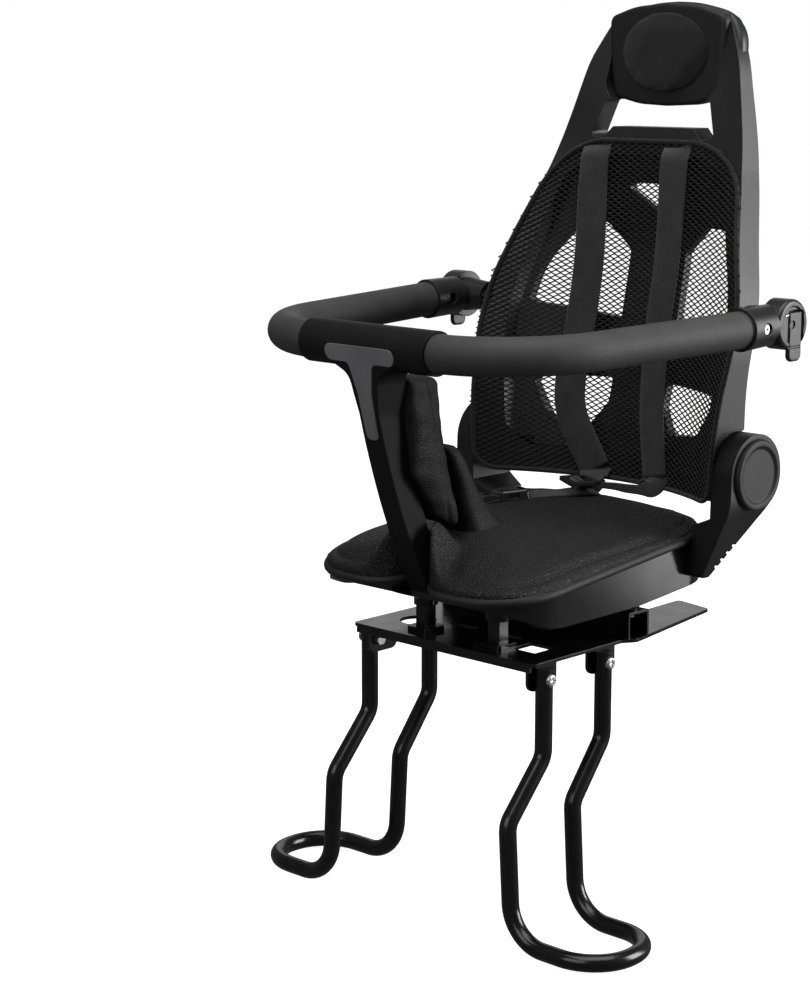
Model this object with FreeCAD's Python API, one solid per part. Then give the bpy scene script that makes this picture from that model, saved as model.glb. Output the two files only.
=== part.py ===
import FreeCAD, Part
import os
from math import acos, atan, atan2, cos, degrees, hypot, pi, radians, sin, tan

V = FreeCAD.Vector

# Rear child seat for a bicycle rack. Millimetres, +Z up, the child faces -Y, +X is the child's left.
# The origin is under the middle of the mount plate, on the face that lies on the rack.

# Fits
seat_gap = 0.1          # between pieces of one body that sit on each other
run_gap = 0.05          # radial clearance of a journal in its bore
free_gap = 0.4          # between pieces that move past each other

# Mount plate, folded from sheet
plate_t = 2.5
plate_front = -60.0
plate_half = 90.0
plate_neck = 38.0       # where the straight side ends
shoulder_half = 96.5
shoulder_y = 48.0
tongue_tip = 165.0
tongue_out = 77.0
tongue_in = 43.0
plate_bay = 62.0        # bottom of the bay between the tongues
flange_drop = 4.5
ear_ahead = 10.0        # how far an ear reaches before and behind its leg
ear_behind = 21.0
ear_drop = 21.0
rack_slot_length = 26.0
rack_slot_width = 7.0
rack_slot_x = 22.0
rack_slot_y = (-10.0, 26.0)
window_side = 22.0      # square hole beside the left stand
window_x = 58.5
window_y = -24.0
eye_r = 14.0            # round hole beside the right stand
eye_x = -59.0
eye_y = -21.0

# Footrest loops, bent from round tube
tube_r = 6.35
leg_x = 87.0
leg_front_y = -45.0
leg_rear_y = 21.0
leg_top = -3.0
jog_top = -68.0
jog_low = -110.0
jog_front = 38.0
jog_rear = 33.0
jog_radius = 16.0
foot_z = -195.0
foot_reach = 171.0
foot_splay = 5.0
foot_radius = 30.0
foot_end_radius = 34.0
screw_r = 2.4
screw_head_r = 4.6
screw_head_h = 2.8
nut_across = 8.0
nut_h = 4.0
foot_screw_z = -11.0
spot_face = 0.8         # flat under a screw head on the tube
recess_w = 1.1          # arms of the cross recess in the screw heads
recess_depth = 1.3
recess_share = 1.2      # length of the cross over the head's radius

# Stands and channel that carry the pan
stand_top = 22.0
sheet_t = 2.0
front_post_x = 36.0
front_post_y = -37.0
rear_post_x = 82.0
rear_post_y = 54.0
stand_side = 11.0
stand_foot = 21.0
stand_foot_t = 3.0
channel_half = 93.0
channel_depth = 24.0
seat_bolt_r = 3.0
seat_bolt_head_r = 5.2
seat_bolt_head_h = 3.6

# Seat pan and cushion
pan_half = 103.5
pan_front = -100.0
pan_rear = 138.0
pan_front_radius = 50.0
pan_rear_radius = 36.0
pan_floor = 29.0
pan_rear_floor = 38.0
pan_nose_floor = 48.0
pan_nose_start = -54.0
pan_rear_start = 40.0
rim_z = 60.0            # rim height at Y = 0
rim_slope = 0.1         # the rim falls this much per millimetre towards the nose
pan_wall = 3.0
boss_r = 9.0
boss_bolt_depth = 14.0
rib_t = 2.2
socket_end = -58.0      # rear wall of the notch for the post's foot
socket_floor = 44.5
cushion_inset = 1.0     # behind the skirt, where the arms stand beside the pan
cushion_over = 2.0      # how far the cushion hangs over the rim
cushion_drop = 4.5      # how far its skirt comes down outside the pan
cushion_notch_half = 11.5
cushion_notch_end = -60.0
pommel_y = -84.0        # the cushion rises to a pommel beside the post
pommel_low = 58.0
pommel_top = 102.0
pommel_low_r = 42.0
pommel_top_r = 14.0
cushion_lobe_radius = 30.0

# Recline hinge
hinge_y = 135.5
hinge_z = 118.0
hinge_face = 117.4      # outer face of the backrest's lugs
lug_r = 25.0
lug_inner = 101.0
arm_outer = 136.0
arm_head_r = 30.5
arm_tip = 8.0           # length of the foot's end face
cap_r = 26.6
cap_outer = 139.8
cap_rim = 4.5
cap_dish = 1.8
cap_sunk = 4.0
pin_r = 4.5
pin_head_r = 9.0
pin_head_h = 4.0
arm_front = 104.0
arm_low = 41.0
arm_foot_wall = 8.5     # thickness of the foot outside the pan
arm_waist = 96.0        # height where the outer face starts to run in
arm_foot_top = 79.0
arm_neck_top = 87.0
arm_screws_at = ((107.0, 46.0), (111.0, 57.0))
arm_screw_depth = 8.0   # into the arm, from inside the pan
arm_boss_r = 6.0
arm_boss = 10.0         # from the pan's side to the seat of the screw heads
arm_grooves = 4         # ribbed underside of the foot
arm_groove_pitch = 6.5
arm_groove_w = 2.8
arm_groove_depth = 3.5
arm_groove_start = 9.0

# Backrest frame, in sections up its height:
# height, Y of the front face at the middle, how far it comes forward at the reference width,
# depth of the rim, how far the web sits behind the front face, and extra depth of the rim at the rails
back_reference = 120.0
back_sections = (
    (60.0, 141.0, 44.0, 24.0, 4.0, 17.0),
    (100.0, 145.0, 45.0, 24.0, 5.0, 17.0),
    (150.0, 150.5, 47.0, 24.0, 14.0, 12.0),
    (200.0, 156.5, 40.0, 24.0, 20.0, 1.0),
    (240.0, 161.0, 33.0, 24.0, 23.0, 0.0),
    (300.0, 168.0, 24.0, 24.0, 22.0, 0.0),
    (345.0, 173.5, 6.0, 21.0, 10.0, 0.0),
    (375.0, 180.0, 2.0, 18.0, 6.0, 0.0),
    (470.0, 208.5, 2.0, 15.0, 4.0, 0.0),
)
web_t = 8.0
slab_half = 140.0
back_low = 97.0
back_hip = 117.0
back_elbow = 126.5
back_elbow_z = 232.0
back_kink = 93.0
back_kink_z = 336.0
back_shoulder = 72.0
back_shoulder_z = 418.0
back_top = 452.0
back_crown = 55.0
rail_width = 17.0
band_top = 116.0        # top of the bottom band
crossbar_low = 346.0
crossbar_top = 367.5
crossbar_step = 359.0
crossbar_flat = 39.0
head_window_low = 60.0
head_window_high = 50.0
head_window_top = 388.0

# Windows of the web, right half
spine_half = 27.0
triangle_half = 36.0
triangle_top = 324.0
triangle_low = 300.0
upper_low = 220.0
upper_shoulder = 272.0
upper_top = 292.0
lower_top = 172.0
lower_low = 134.0

# Mesh cover
mesh_t = 2.4
mesh_inset = 1.5
mesh_top = 357.0
gap_pitch_x = 17.0
gap_pitch_z = 9.6
gap_half_x = 6.4
gap_half_z = 3.5

# Head panel
panel_front = 192.0
panel_t = 13.0
panel_half = 54.0
panel_low = 384.0
panel_top = 461.0
pad_half_x = 42.0
pad_half_z = 32.0
pad_z = 424.0
pad_proud = 3.5
pad_sunk = 2.0

# Bar
bar_y = 132.0           # swing axis
bar_z = 232.0
bar_tube_r = 9.5
foam_r = 13.5
bar_front = -127.0
bar_front_z = 225.5
bar_corner = 129.0      # where the side and front centre lines would meet
bar_bend = 80.0
bar_sleeve_y = 86.0
bar_sleeve_x = 152.5
hub_inner = 150.0
hub_outer = 167.0
hub_r = 18.5
sleeve_r = 14.8
sleeve_lip_r = 15.6
foam_sunk = 4.0
tube_end_y = 110.0
stub_r = 5.5
stub_neck = 126.8
stub_neck_r = 11.0
stub_wide_r = 13.4
journal_r = 7.6
journal_end = 158.0
stub_root = 119.5
hub_screw_y = 101.0
hub_screw_seat = 10.2
hub_screw_head_r = 3.4
hub_screw_head_h = 1.6
hub_screw_hole_r = 4.5
hub_mid = 152.0         # where the sleeve's middle line meets the barrel
hub_round = 3.0         # rounding of the barrel's outer edge
hub_dish_r = 14.4
hub_dish = 1.4

# Release levers
lever_half = 8.0
lever_shift = 4.0       # the levers stand this far behind the swing axis
lever_slit = 0.8
lever_t = 4.0
lever_low = 27.0        # below the swing axis
lever_pivot = 7.0       # above the swing axis
lever_pin_r = 1.2
lever_floor = 5.2       # depth of the slot from the hub's face
lever_dimple_r = 3.0
lever_dimple = 1.0
lever_groove = 16.5      # below the swing axis, where the finger tab starts

# T post
t_half = 60.0
t_r = 15.6
post_front = ((-143.0, 228.0), (-124.5, 150.0), (-82.0, 45.0))    # arc of the front face, Y and Z
post_rear = ((-112.0, 222.0), (-98.5, 140.0), (-62.0, 47.0))
post_half_top = 36.0
post_half = 9.5
post_neck = 198.0       # height where the post widens into the sleeve
insert_half = 33.0
insert_top = 227.0
insert_bar = 12.0
insert_stem = 6.5
insert_low = 160.0
insert_proud = 1.0
insert_sunk = 2.0

# Crotch pad and tongue
crotch_half = 18.0
crotch_profile = ((-111.0, 205.0, 5.0), (-78.0, 203.0, 8.0), (-70.0, 158.0, 60.0),
                  (-51.0, 85.0, 5.0), (-84.0, 101.0, 10.0), (-108.0, 134.0, 20.0))    # Y, Z, rounding
crotch_edge = 4.0       # rounding of the pad's side edges
tongue_half = 15.0
tongue_top = 149.0
tongue_profile = ((-53.0, tongue_top, 2.0), (-47.5, tongue_top, 2.0), (-13.0, 92.0, 3.0),
                  (-11.0, 84.0, 1.0), (-23.0, 84.0, 1.0))
tongue_round = 13.0

# Harness
web_width = 26.0
web_thick = 1.6
strap_lift = 0.1
lap_from = (-62.0, 48.0)
lap_to = (-8.0, 128.0)
fold_r = 5.0            # rolled end of the lap strap
fold_at = 0.84          # share of the lap strap's length
buckle_at = 0.16
buckle_socket = 24.0
buckle_plug = 13.0
buckle_w = 32.0
buckle_t = 9.0
prong_w = 6.0
prong_length = 9.0
slider_w = 36.0
slider_length = 23.0
slider_t = 3.0
slider_bar = 4.0


def on_xy(z):
    return lambda u, v: V(u, v, z)


def on_xz(y):
    return lambda u, v: V(u, y, v)


def on_yz(x):
    return lambda u, v: V(x, u, v)


# A closed wire through corners (u, v, radius), each rounded by a tangent arc.
def rounded(corners, place):
    runs = []
    count = len(corners)
    for i in range(count):
        u, v, r = corners[i]
        ua, va = corners[i - 1][:2]
        ub, vb = corners[(i + 1) % count][:2]
        la, lb = hypot(ua - u, va - v), hypot(ub - u, vb - v)
        ax, ay = (ua - u) / la, (va - v) / la
        bx, by = (ub - u) / lb, (vb - v) / lb
        half = acos(max(-1.0, min(1.0, ax * bx + ay * by))) / 2
        if r <= 0:
            runs.append((place(u, v), None, place(u, v)))
            continue
        t = r / tan(half)
        mx, my = ax + bx, ay + by
        ml = hypot(mx, my)
        d = r / sin(half) - r
        runs.append((place(u + ax * t, v + ay * t), place(u + mx / ml * d, v + my / ml * d),
                     place(u + bx * t, v + by * t)))
    edges = []
    for i in range(count):
        start, middle, end = runs[i]
        if middle is not None:
            edges.append(Part.Arc(start, middle, end).toShape())
        following = runs[(i + 1) % count][0]
        if end.distanceToPoint(following) > 1e-6:
            edges.append(Part.LineSegment(end, following).toShape())
    return Part.Wire(edges)


def prism(corners, place, way):
    return Part.Face(rounded(corners, place)).extrude(V(*way))


def both_sides(half):
    return half + [(-u, v, r) for u, v, r in reversed(half)]


def box(x0, x1, y0, y1, z0, z1):
    return Part.makeBox(x1 - x0, y1 - y0, z1 - z0, V(x0, y0, z0))


def rod(start, end, r, r_end=None):
    way = end.sub(start)
    if r_end is None:
        return Part.makeCylinder(r, way.Length, start, way)
    return Part.makeCone(r, r_end, way.Length, start, way)


def x_rod(x0, x1, y, z, r, r_end=None):
    return rod(V(x0, y, z), V(x1, y, z), r, r_end)


def hexagon(start, end, across):
    way = end.sub(start)
    side = way.cross(V(0, 0, 1)) if abs(way.normalize().z) < 0.9 else V(1, 0, 0)
    side.normalize()
    other = way.cross(side)
    corners = []
    for i in range(6):
        a = radians(60 * i)
        corners.append(start + (side * cos(a) + other * sin(a)) * (across / 2 / cos(pi / 6)))
    face = Part.Face(Part.makePolygon(corners + corners[:1]))
    return face.extrude(end.sub(start))


def mirrored(shape):
    return shape.mirror(V(0, 0, 0), V(1, 0, 0))


# An open wire through (point, radius) with a tangent arc at every inner point.
def bent_path(points):
    edges = []
    last = points[0][0]
    for i in range(1, len(points) - 1):
        p, r = points[i]
        a = points[i - 1][0].sub(p)
        b = points[i + 1][0].sub(p)
        a.normalize()
        b.normalize()
        half = a.getAngle(b) / 2
        t = r / tan(half)
        m = a + b
        m.normalize()
        start, middle, end = p + a * t, p + m * (r / sin(half) - r), p + b * t
        if last.distanceToPoint(start) > 1e-6:
            edges.append(Part.LineSegment(last, start).toShape())
        edges.append(Part.Arc(start, middle, end).toShape())
        last = end
    edges.append(Part.LineSegment(last, points[-1][0]).toShape())
    return Part.Wire(edges)


def swept(path, r):
    first = path.Edges[0]
    start = first.valueAt(first.FirstParameter)
    way = first.tangentAt(first.FirstParameter)
    ring = Part.Wire([Part.Circle(start, way, r).toShape()])
    return path.makePipeShell([ring], True, False)


# Mount plate
ear_face = leg_x - tube_r - seat_gap
head_face = leg_x + tube_r - spot_face
nut_face = ear_face - plate_t


def mount_plate():
    half = [(plate_half, plate_front, 4), (plate_half, plate_neck, 5), (shoulder_half, shoulder_y, 7),
            (tongue_out, tongue_tip - 4, 3), (tongue_in, tongue_tip + 3, 3), (tongue_in + 3, plate_bay, 10)]
    plate = prism(both_sides(half), on_xy(0), (0, 0, plate_t))
    flange = box(-plate_half + 4, plate_half - 4, plate_front, plate_front + plate_t, -flange_drop, plate_t)
    plate = plate.fuse(flange)
    for side in (-1, 1):
        for y in (leg_front_y, leg_rear_y):
            corners = [(y - ear_ahead, plate_t, 0), (y + ear_behind, plate_t, 0),
                       (y + ear_behind, -ear_drop, 7), (y - ear_ahead, -ear_drop, 7)]
            ear = prism(corners, on_yz(ear_face - plate_t), (plate_t, 0, 0))
            ear = ear.cut(x_rod(0, leg_x, y, foot_screw_z, screw_r + run_gap))
            plate = plate.fuse(ear if side > 0 else mirrored(ear))
        for y in rack_slot_y:
            x = side * rack_slot_x
            a, b = rack_slot_length / 2, rack_slot_width / 2
            r = b - 0.001
            slot = [(x - a, y - b, r), (x + a, y - b, r), (x + a, y + b, r), (x - a, y + b, r)]
            plate = plate.cut(prism(slot, on_xy(-1), (0, 0, plate_t + 2)))
    s = window_side / 2
    square = [(window_x - s, window_y - s, 1), (window_x + s, window_y - s, 1),
              (window_x + s, window_y + s, 1), (window_x - s, window_y + s, 1)]
    plate = plate.cut(prism(square, on_xy(-1), (0, 0, plate_t + 2)))
    plate = plate.cut(rod(V(eye_x, eye_y, -1), V(eye_x, eye_y, plate_t + 1), eye_r))
    return plate.removeSplitter()


# Footrest loops, outside the ears
def footrest():
    low_x = leg_x + foot_splay
    front, rear = leg_front_y - jog_front, leg_rear_y - jog_rear
    path = bent_path([
        (V(leg_x, leg_front_y, leg_top), 0),
        (V(leg_x, leg_front_y, jog_top), jog_radius),
        (V(leg_x, front, jog_low), jog_radius),
        (V(low_x, front, foot_z), foot_radius),
        (V(foot_reach, front, foot_z), foot_end_radius),
        (V(foot_reach, rear, foot_z), foot_end_radius),
        (V(low_x, rear, foot_z), foot_radius),
        (V(leg_x, rear, jog_low), jog_radius),
        (V(leg_x, leg_rear_y, jog_top), jog_radius),
        (V(leg_x, leg_rear_y, leg_top), 0),
    ])
    loop = swept(path, tube_r)
    for y in (leg_front_y, leg_rear_y):
        far = leg_x + 2 * tube_r
        loop = loop.cut(x_rod(0, far, y, foot_screw_z, screw_r + run_gap))
        loop = loop.cut(x_rod(head_face, far, y, foot_screw_z, screw_head_r + seat_gap))
    return loop


# A cross for the driver, cut into a head that faces along X
def cross_recess(face, depth, y, z, head_r):
    a, b = recess_w / 2, recess_share * head_r / 2
    x0, x1 = sorted((face, face - depth))
    upright = box(x0, x1, y - a, y + a, z - b, z + b)
    return upright.fuse(box(x0, x1, y - b, y + b, z - a, z + a))


def footrest_screws():
    solids = []
    for side in (-1, 1):
        for y in (leg_front_y, leg_rear_y):
            top = head_face + screw_head_h
            shank = x_rod(nut_face - nut_h, head_face, y, foot_screw_z, screw_r)
            head = x_rod(head_face, top, y, foot_screw_z, screw_head_r)
            crown = [e for e in head.Edges if e.BoundBox.XMin > top - 0.01]
            head = head.makeFillet(screw_head_h * 0.6, crown)
            head = head.cut(cross_recess(top, recess_depth, y, foot_screw_z, screw_head_r))
            screw = shank.fuse(head).removeSplitter()
            solids.append(screw if side > 0 else mirrored(screw))
    return Part.makeCompound(solids)


def footrest_nuts():
    solids = []
    for side in (-1, 1):
        for y in (leg_front_y, leg_rear_y):
            nut = hexagon(V(nut_face - nut_h, y, foot_screw_z), V(nut_face, y, foot_screw_z), nut_across)
            nut = nut.cut(x_rod(nut_face - nut_h - 1, nut_face + 1, y, foot_screw_z, screw_r))
            solids.append(nut if side > 0 else mirrored(nut))
    return Part.makeCompound(solids)


# Stands under the pan
def front_stand():
    x, y = front_post_x, front_post_y
    a, b = stand_foot / 2, stand_side / 2
    foot = [(x - a, y - a, 3), (x + a, y - a, 3), (x + a, y + a, 3), (x - a, y + a, 3)]
    post = [(x - b, y - b, 1), (x + b, y - b, 1), (x + b, y + b, 1), (x - b, y + b, 1)]
    stand = prism(foot, on_xy(plate_t), (0, 0, stand_foot_t))
    stand = stand.fuse(prism(post, on_xy(plate_t), (0, 0, stand_top - plate_t)))
    stud = rod(V(x, y, stand_top - 2), V(x, y, stand_top + boss_bolt_depth), seat_bolt_r)
    return stand.fuse(stud).removeSplitter()


def rear_channel():
    y0, y1 = rear_post_y - channel_depth / 2, rear_post_y + channel_depth / 2
    outer = box(-channel_half, channel_half, y0, y1, plate_t, stand_top)
    inner = box(-channel_half, channel_half, y0 + sheet_t, y1 - sheet_t, plate_t, stand_top - sheet_t)
    channel = outer.cut(inner)
    top = [e for e in channel.Edges if e.BoundBox.ZMin > stand_top - 0.01]
    bend = [e for e in top if e.BoundBox.XLength > channel_half]
    channel = channel.makeFillet(sheet_t, bend)
    for side in (-1, 1):
        x = side * rear_post_x
        hole = rod(V(x, rear_post_y, stand_top - 8), V(x, rear_post_y, stand_top + 1), seat_bolt_r + run_gap)
        channel = channel.cut(hole)
    return channel


def seat_posts():
    near = ((front_post_x, front_post_y), (rear_post_x, rear_post_y))
    return [(side * x, y) for x, y in near for side in (-1, 1)]


def seat_bolts():
    solids = []
    under = stand_top - sheet_t
    for x in (-rear_post_x, rear_post_x):
        y = rear_post_y
        shank = rod(V(x, y, under), V(x, y, stand_top + boss_bolt_depth), seat_bolt_r)
        head = hexagon(V(x, y, under - seat_bolt_head_h), V(x, y, under), 2 * seat_bolt_head_r)
        solids.append(shank.fuse(head).removeSplitter())
    return Part.makeCompound(solids)


arm_screw_seat = pan_half - arm_boss
arm_foot_outer = pan_half + arm_foot_wall


# Seat pan: a skirt and a deck, open underneath, with ribs and four bosses
def rim(y):
    return rim_z + rim_slope * y


def pan_outline(inset):
    return both_sides([(pan_half - inset, pan_front + inset, pan_front_radius - inset),
                       (pan_half - 2 - inset, pan_rear - inset, pan_rear_radius - inset)])


def pan_wedge(floor_drop, deck):
    y0, y1 = pan_front - 5, pan_rear + 5
    corners = [(y0, pan_nose_floor - floor_drop, 0), (pan_nose_start, pan_floor - floor_drop, 60),
               (pan_rear_start, pan_floor - floor_drop, 200), (y1, pan_rear_floor - floor_drop, 0),
               (y1, rim(y1) - deck, 0), (y0, rim(y0) - deck, 0)]
    return prism(corners, on_yz(-pan_half - 5), (2 * pan_half + 10, 0, 0))


def seat_pan():
    outer = prism(pan_outline(0), on_xy(0), (0, 0, 100)).common(pan_wedge(0, 0))
    hollow = prism(pan_outline(pan_wall), on_xy(0), (0, 0, 100)).common(pan_wedge(30, pan_wall))
    pan = outer.cut(hollow)
    ribs = []
    for x in (-front_post_x, front_post_x):
        ribs.append(box(x - rib_t / 2, x + rib_t / 2, pan_front, pan_rear, 0, 100))
    for y in (front_post_y, rear_post_y):
        ribs.append(box(-pan_half, pan_half, y - rib_t / 2, y + rib_t / 2, 0, 100))
    rib_room = prism(pan_outline(pan_wall / 2), on_xy(0), (0, 0, 100)).common(pan_wedge(-6, pan_wall / 2))
    for rib in ribs:
        pan = pan.fuse(rib.common(rib_room))
    for x, y in seat_posts():
        pan = pan.fuse(rod(V(x, y, stand_top), V(x, y, rim(y) - pan_wall / 2), boss_r))
    for x, y in seat_posts():
        top = stand_top + boss_bolt_depth
        pan = pan.cut(rod(V(x, y, stand_top - 1), V(x, y, top), seat_bolt_r + run_gap))
    for side in (-1, 1):
        for y, z in arm_screws_at:
            boss = x_rod(side * arm_screw_seat, side * pan_half, y, z, arm_boss_r)
            pan = pan.fuse(boss.common(outer))
            pan = pan.cut(x_rod(side * (arm_screw_seat - 1), side * pan_half, y, z, screw_r + run_gap))
    wall = post_half + free_gap + pan_wall
    socket = box(-wall, wall, pan_front - 1, socket_end + pan_wall, socket_floor - pan_wall, 100)
    pan = pan.fuse(socket.common(outer))
    room = [(post_half + free_gap, pan_front - 1, 0), (post_half + free_gap, socket_end, 3)]
    return pan.cut(prism(both_sides(room), on_xy(socket_floor), (0, 0, 60))).removeSplitter()


# Cushion: a crowned pad between the rim plane and arched sections
cushion_sections = ((pan_rear + 6, 83.0, 79.0), (105.0, 84.0, 75.5), (60.0, 84.0, 71.0), (0.0, 83.5, 66.5),
                    (-50.0, 81.0, 61.0), (-80.0, 72.0, 56.0), (pan_front - 6, 58.0, 51.0))


def cushion_arch(y, middle, edge, lift):
    w = pan_half + 4
    a, m, b = V(-w, y, edge + lift), V(0, y, middle + lift), V(w, y, edge + lift)
    c, d = V(w, y, 30), V(-w, y, 30)
    return Part.Wire([Part.Arc(a, m, b).toShape(), Part.LineSegment(b, c).toShape(),
                      Part.LineSegment(c, d).toShape(), Part.LineSegment(d, a).toShape()])


def cushion_crown(lift):
    arches = [cushion_arch(y, middle, edge, lift) for y, middle, edge in cushion_sections]
    return Part.makeLoft(arches, True, False)


# The front and sides hang over the rim; the radii in front share the run between notch and side
def cushion_outline():
    side = pan_half + cushion_over
    front = pan_front - cushion_over
    skirt_end = arm_front - 7
    run = side - cushion_notch_half - 1
    lobe = min(cushion_lobe_radius, 0.45 * run)
    shoulder = min(pan_front_radius + cushion_over, 0.54 * run)
    inner = pan_half - 2 - cushion_inset
    return both_sides([(cushion_notch_half, cushion_notch_end, cushion_notch_half - 1.5),
                       (cushion_notch_half + 1, front, lobe), (side, front, shoulder),
                       (side - 1.6, skirt_end, 2), (inner + 0.4, skirt_end + 3, 1),
                       (inner, pan_rear - cushion_inset, pan_rear_radius - cushion_inset)])


# Everything under the rim plane, lowered by drop
def under_rim(drop):
    y0, y1 = pan_front - 8, pan_rear + 8
    corners = [(y0, 0, 0), (y1, 0, 0), (y1, rim(y1) - drop, 0), (y0, rim(y0) - drop, 0)]
    return prism(corners, on_yz(-pan_half - 8), (2 * pan_half + 16, 0, 0))


def seat_cushion():
    block = prism(cushion_outline(), on_xy(0), (0, 0, 120)).common(cushion_crown(0))
    pan_room = prism(pan_outline(-seat_gap), on_xy(0), (0, 0, 120)).common(under_rim(-seat_gap))
    cone = rod(V(0, pommel_y, pommel_low), V(0, pommel_y, pommel_top), pommel_low_r, pommel_top_r)
    block = block.fuse(cone.common(prism(cushion_outline(), on_xy(0), (0, 0, 120))))
    block = block.cut(pan_room).cut(under_rim(cushion_drop))
    return block.cut(crotch_block(crotch_half + free_gap, 2 * free_gap)).removeSplitter()


# Recline hinge
def hinge_arm():
    inner = hinge_face + free_gap
    y, z, r = hinge_y, hinge_z, arm_head_r
    side = x_rod(pan_half - 4, arm_outer, y, z, r)
    edge = r * sin(pi / 4)
    corners = [(arm_front - 1, arm_low, 3), (arm_front + arm_tip, arm_low, 3), (y + edge, z - edge, 0),
               (y, z, 0), (y - r, z, 0), (arm_front, arm_neck_top - 6, 20)]
    side = side.fuse(prism(corners, on_yz(pan_half - 4), (arm_outer - pan_half + 4, 0, 0)))
    front = [(inner, z + r + 1, 0), (arm_outer, z + r + 1, 0), (arm_outer, arm_waist, 40),
             (arm_foot_outer, arm_low - 1, 0), (pan_half - 4, arm_low - 1, 0),
             (pan_half - 4, arm_foot_top, 0), (inner, arm_neck_top, 0)]
    arm = side.common(prism(front, on_xz(y - 2 * r), (0, 4 * r, 0)))
    arm = arm.cut(prism(pan_outline(-seat_gap), on_xy(0), (0, 0, 120)))
    pocket = cap_r + seat_gap
    floor = arm_outer - cap_sunk
    arm = arm.cut(x_rod(floor, arm_outer + 1, y, z, pocket))
    arm = arm.cut(x_rod(floor - pin_head_h, arm_outer, y, z, pin_head_r + seat_gap))
    arm = arm.cut(x_rod(0, arm_outer, y, z, pin_r + run_gap))
    for y, z in arm_screws_at:
        arm = arm.cut(x_rod(0, pan_half + arm_screw_depth + seat_gap, y, z, screw_r + run_gap))
    return arm.cut(Part.makeCompound(foot_grooves(edge))).removeSplitter()


# Short grooves across the slanting underside of the foot
def foot_grooves(edge):
    low = V(0, arm_front + arm_tip, arm_low)
    along = V(0, hinge_y + edge, hinge_z - edge).sub(low)
    along.normalize()
    out = V(1, 0, 0).cross(along)
    grooves = []
    for i in range(arm_grooves):
        middle = low + along * (arm_groove_start + i * arm_groove_pitch)
        a, b = along * (arm_groove_w / 2), out * arm_groove_depth
        corners = [middle - a - b, middle + a - b, middle + a + b, middle - a + b]
        face = Part.Face(Part.makePolygon(corners + corners[:1]))
        face.translate(V(arm_foot_outer - 2, 0, 0))
        grooves.append(face.extrude(V(arm_outer - arm_foot_outer + 4, 0, 0)))
    return grooves


def arm_screws():
    solids = []
    for side in (-1, 1):
        for y, z in arm_screws_at:
            seat = arm_screw_seat
            shank = x_rod(seat, pan_half + arm_screw_depth, y, z, screw_r)
            head = x_rod(seat - screw_head_h, seat, y, z, screw_head_r)
            screw = shank.fuse(head).removeSplitter()
            solids.append(screw if side > 0 else mirrored(screw))
    return Part.makeCompound(solids)


def hinge_pin():
    tip = lug_inner - 3
    head = arm_outer - cap_sunk - pin_head_h
    pin = x_rod(tip, head, hinge_y, hinge_z, pin_r)
    return pin.fuse(x_rod(head, head + pin_head_h - 0.3, hinge_y, hinge_z, pin_head_r)).removeSplitter()


# A cover disc with a raised rim and a dished middle, turned about the hinge axis
def hinge_cap():
    back = arm_outer - cap_sunk
    dish = cap_outer - cap_dish
    outline = [(0, back, 0), (cap_r, back, 0), (cap_r, cap_outer, 2.2), (cap_r - cap_rim, cap_outer, 1.5),
               (cap_r - cap_rim - 2.5, dish, 1.5), (0, dish, 0)]
    wire = rounded(outline, lambda r, x: V(x, hinge_y + r, hinge_z))
    return Part.Face(wire).revolve(V(0, hinge_y, hinge_z), V(1, 0, 0), 360)


# Backrest
def arc_section(z, front, front_sag, rear, rear_sag):
    k = (slab_half / back_reference) ** 2
    a, m, b = V(-slab_half, front - front_sag * k, z), V(0, front, z), V(slab_half, front - front_sag * k, z)
    c, n, d = V(slab_half, rear - rear_sag * k, z), V(0, rear, z), V(-slab_half, rear - rear_sag * k, z)
    return Part.Wire([Part.Arc(a, m, b).toShape(), Part.LineSegment(b, c).toShape(),
                      Part.Arc(c, n, d).toShape(), Part.LineSegment(d, a).toShape()])


# A curved slab that follows the backrest: between two distances behind its front face
def back_slab(near, far):
    wires = [arc_section(z, y + near, sag, y + far, sag) for z, y, sag, depth, back, extra in back_sections]
    return Part.makeLoft(wires, True, False)


def rim_slab():
    wires = [arc_section(z, y, sag, y + depth, sag - extra)
             for z, y, sag, depth, back, extra in back_sections]
    return Part.makeLoft(wires, True, False)


def web_slab():
    wires = [arc_section(z, y + back, sag + back / 2, y + back + web_t, sag + back / 2)
             for z, y, sag, depth, back, extra in back_sections]
    return Part.makeLoft(wires, True, False)


def back_outline(inset):
    return both_sides([(back_hip - inset, back_low + inset, 14), (back_elbow - inset, back_elbow_z, 160),
                       (back_kink - inset, back_kink_z, 60), (back_shoulder - inset, back_shoulder_z, 90),
                       (back_crown - inset, back_top - inset, 16)])


def opening_outline(grow):
    w = rail_width - grow
    return both_sides([(back_hip - w - 4, band_top - grow, 26), (back_elbow - w, back_elbow_z, 150),
                       (back_kink - w, crossbar_low - 14, 20), (back_kink - w - 26, crossbar_low + grow, 10)])


def web_windows():
    upper = [(spine_half, upper_low - 2, 3), (spine_half, upper_shoulder, 5), (spine_half + 21, upper_top, 5),
             (72, upper_top, 14), (97, 259, 60), (102, upper_low + 8, 4)]
    lower = [(spine_half, lower_top, 3), (91, lower_top - 2, 5), (73, lower_low + 4, 10), (40, lower_low, 8),
             (spine_half, lower_low + 19, 8)]
    triangle = [(-triangle_half, triangle_top, 4), (triangle_half, triangle_top, 4), (0, triangle_low, 3)]
    flip = lambda shape: [(-u, v, r) for u, v, r in reversed(shape)]
    return [upper, flip(upper), lower, flip(lower), triangle]


def through_back(corners):
    return prism(corners, on_xz(40), (0, 240, 0))


def head_window():
    s = crossbar_step
    return both_sides([(crossbar_flat, crossbar_top, 2), (crossbar_flat + 8, s, 2), (head_window_low, s, 4),
                       (head_window_high, head_window_top, 3)])


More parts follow.
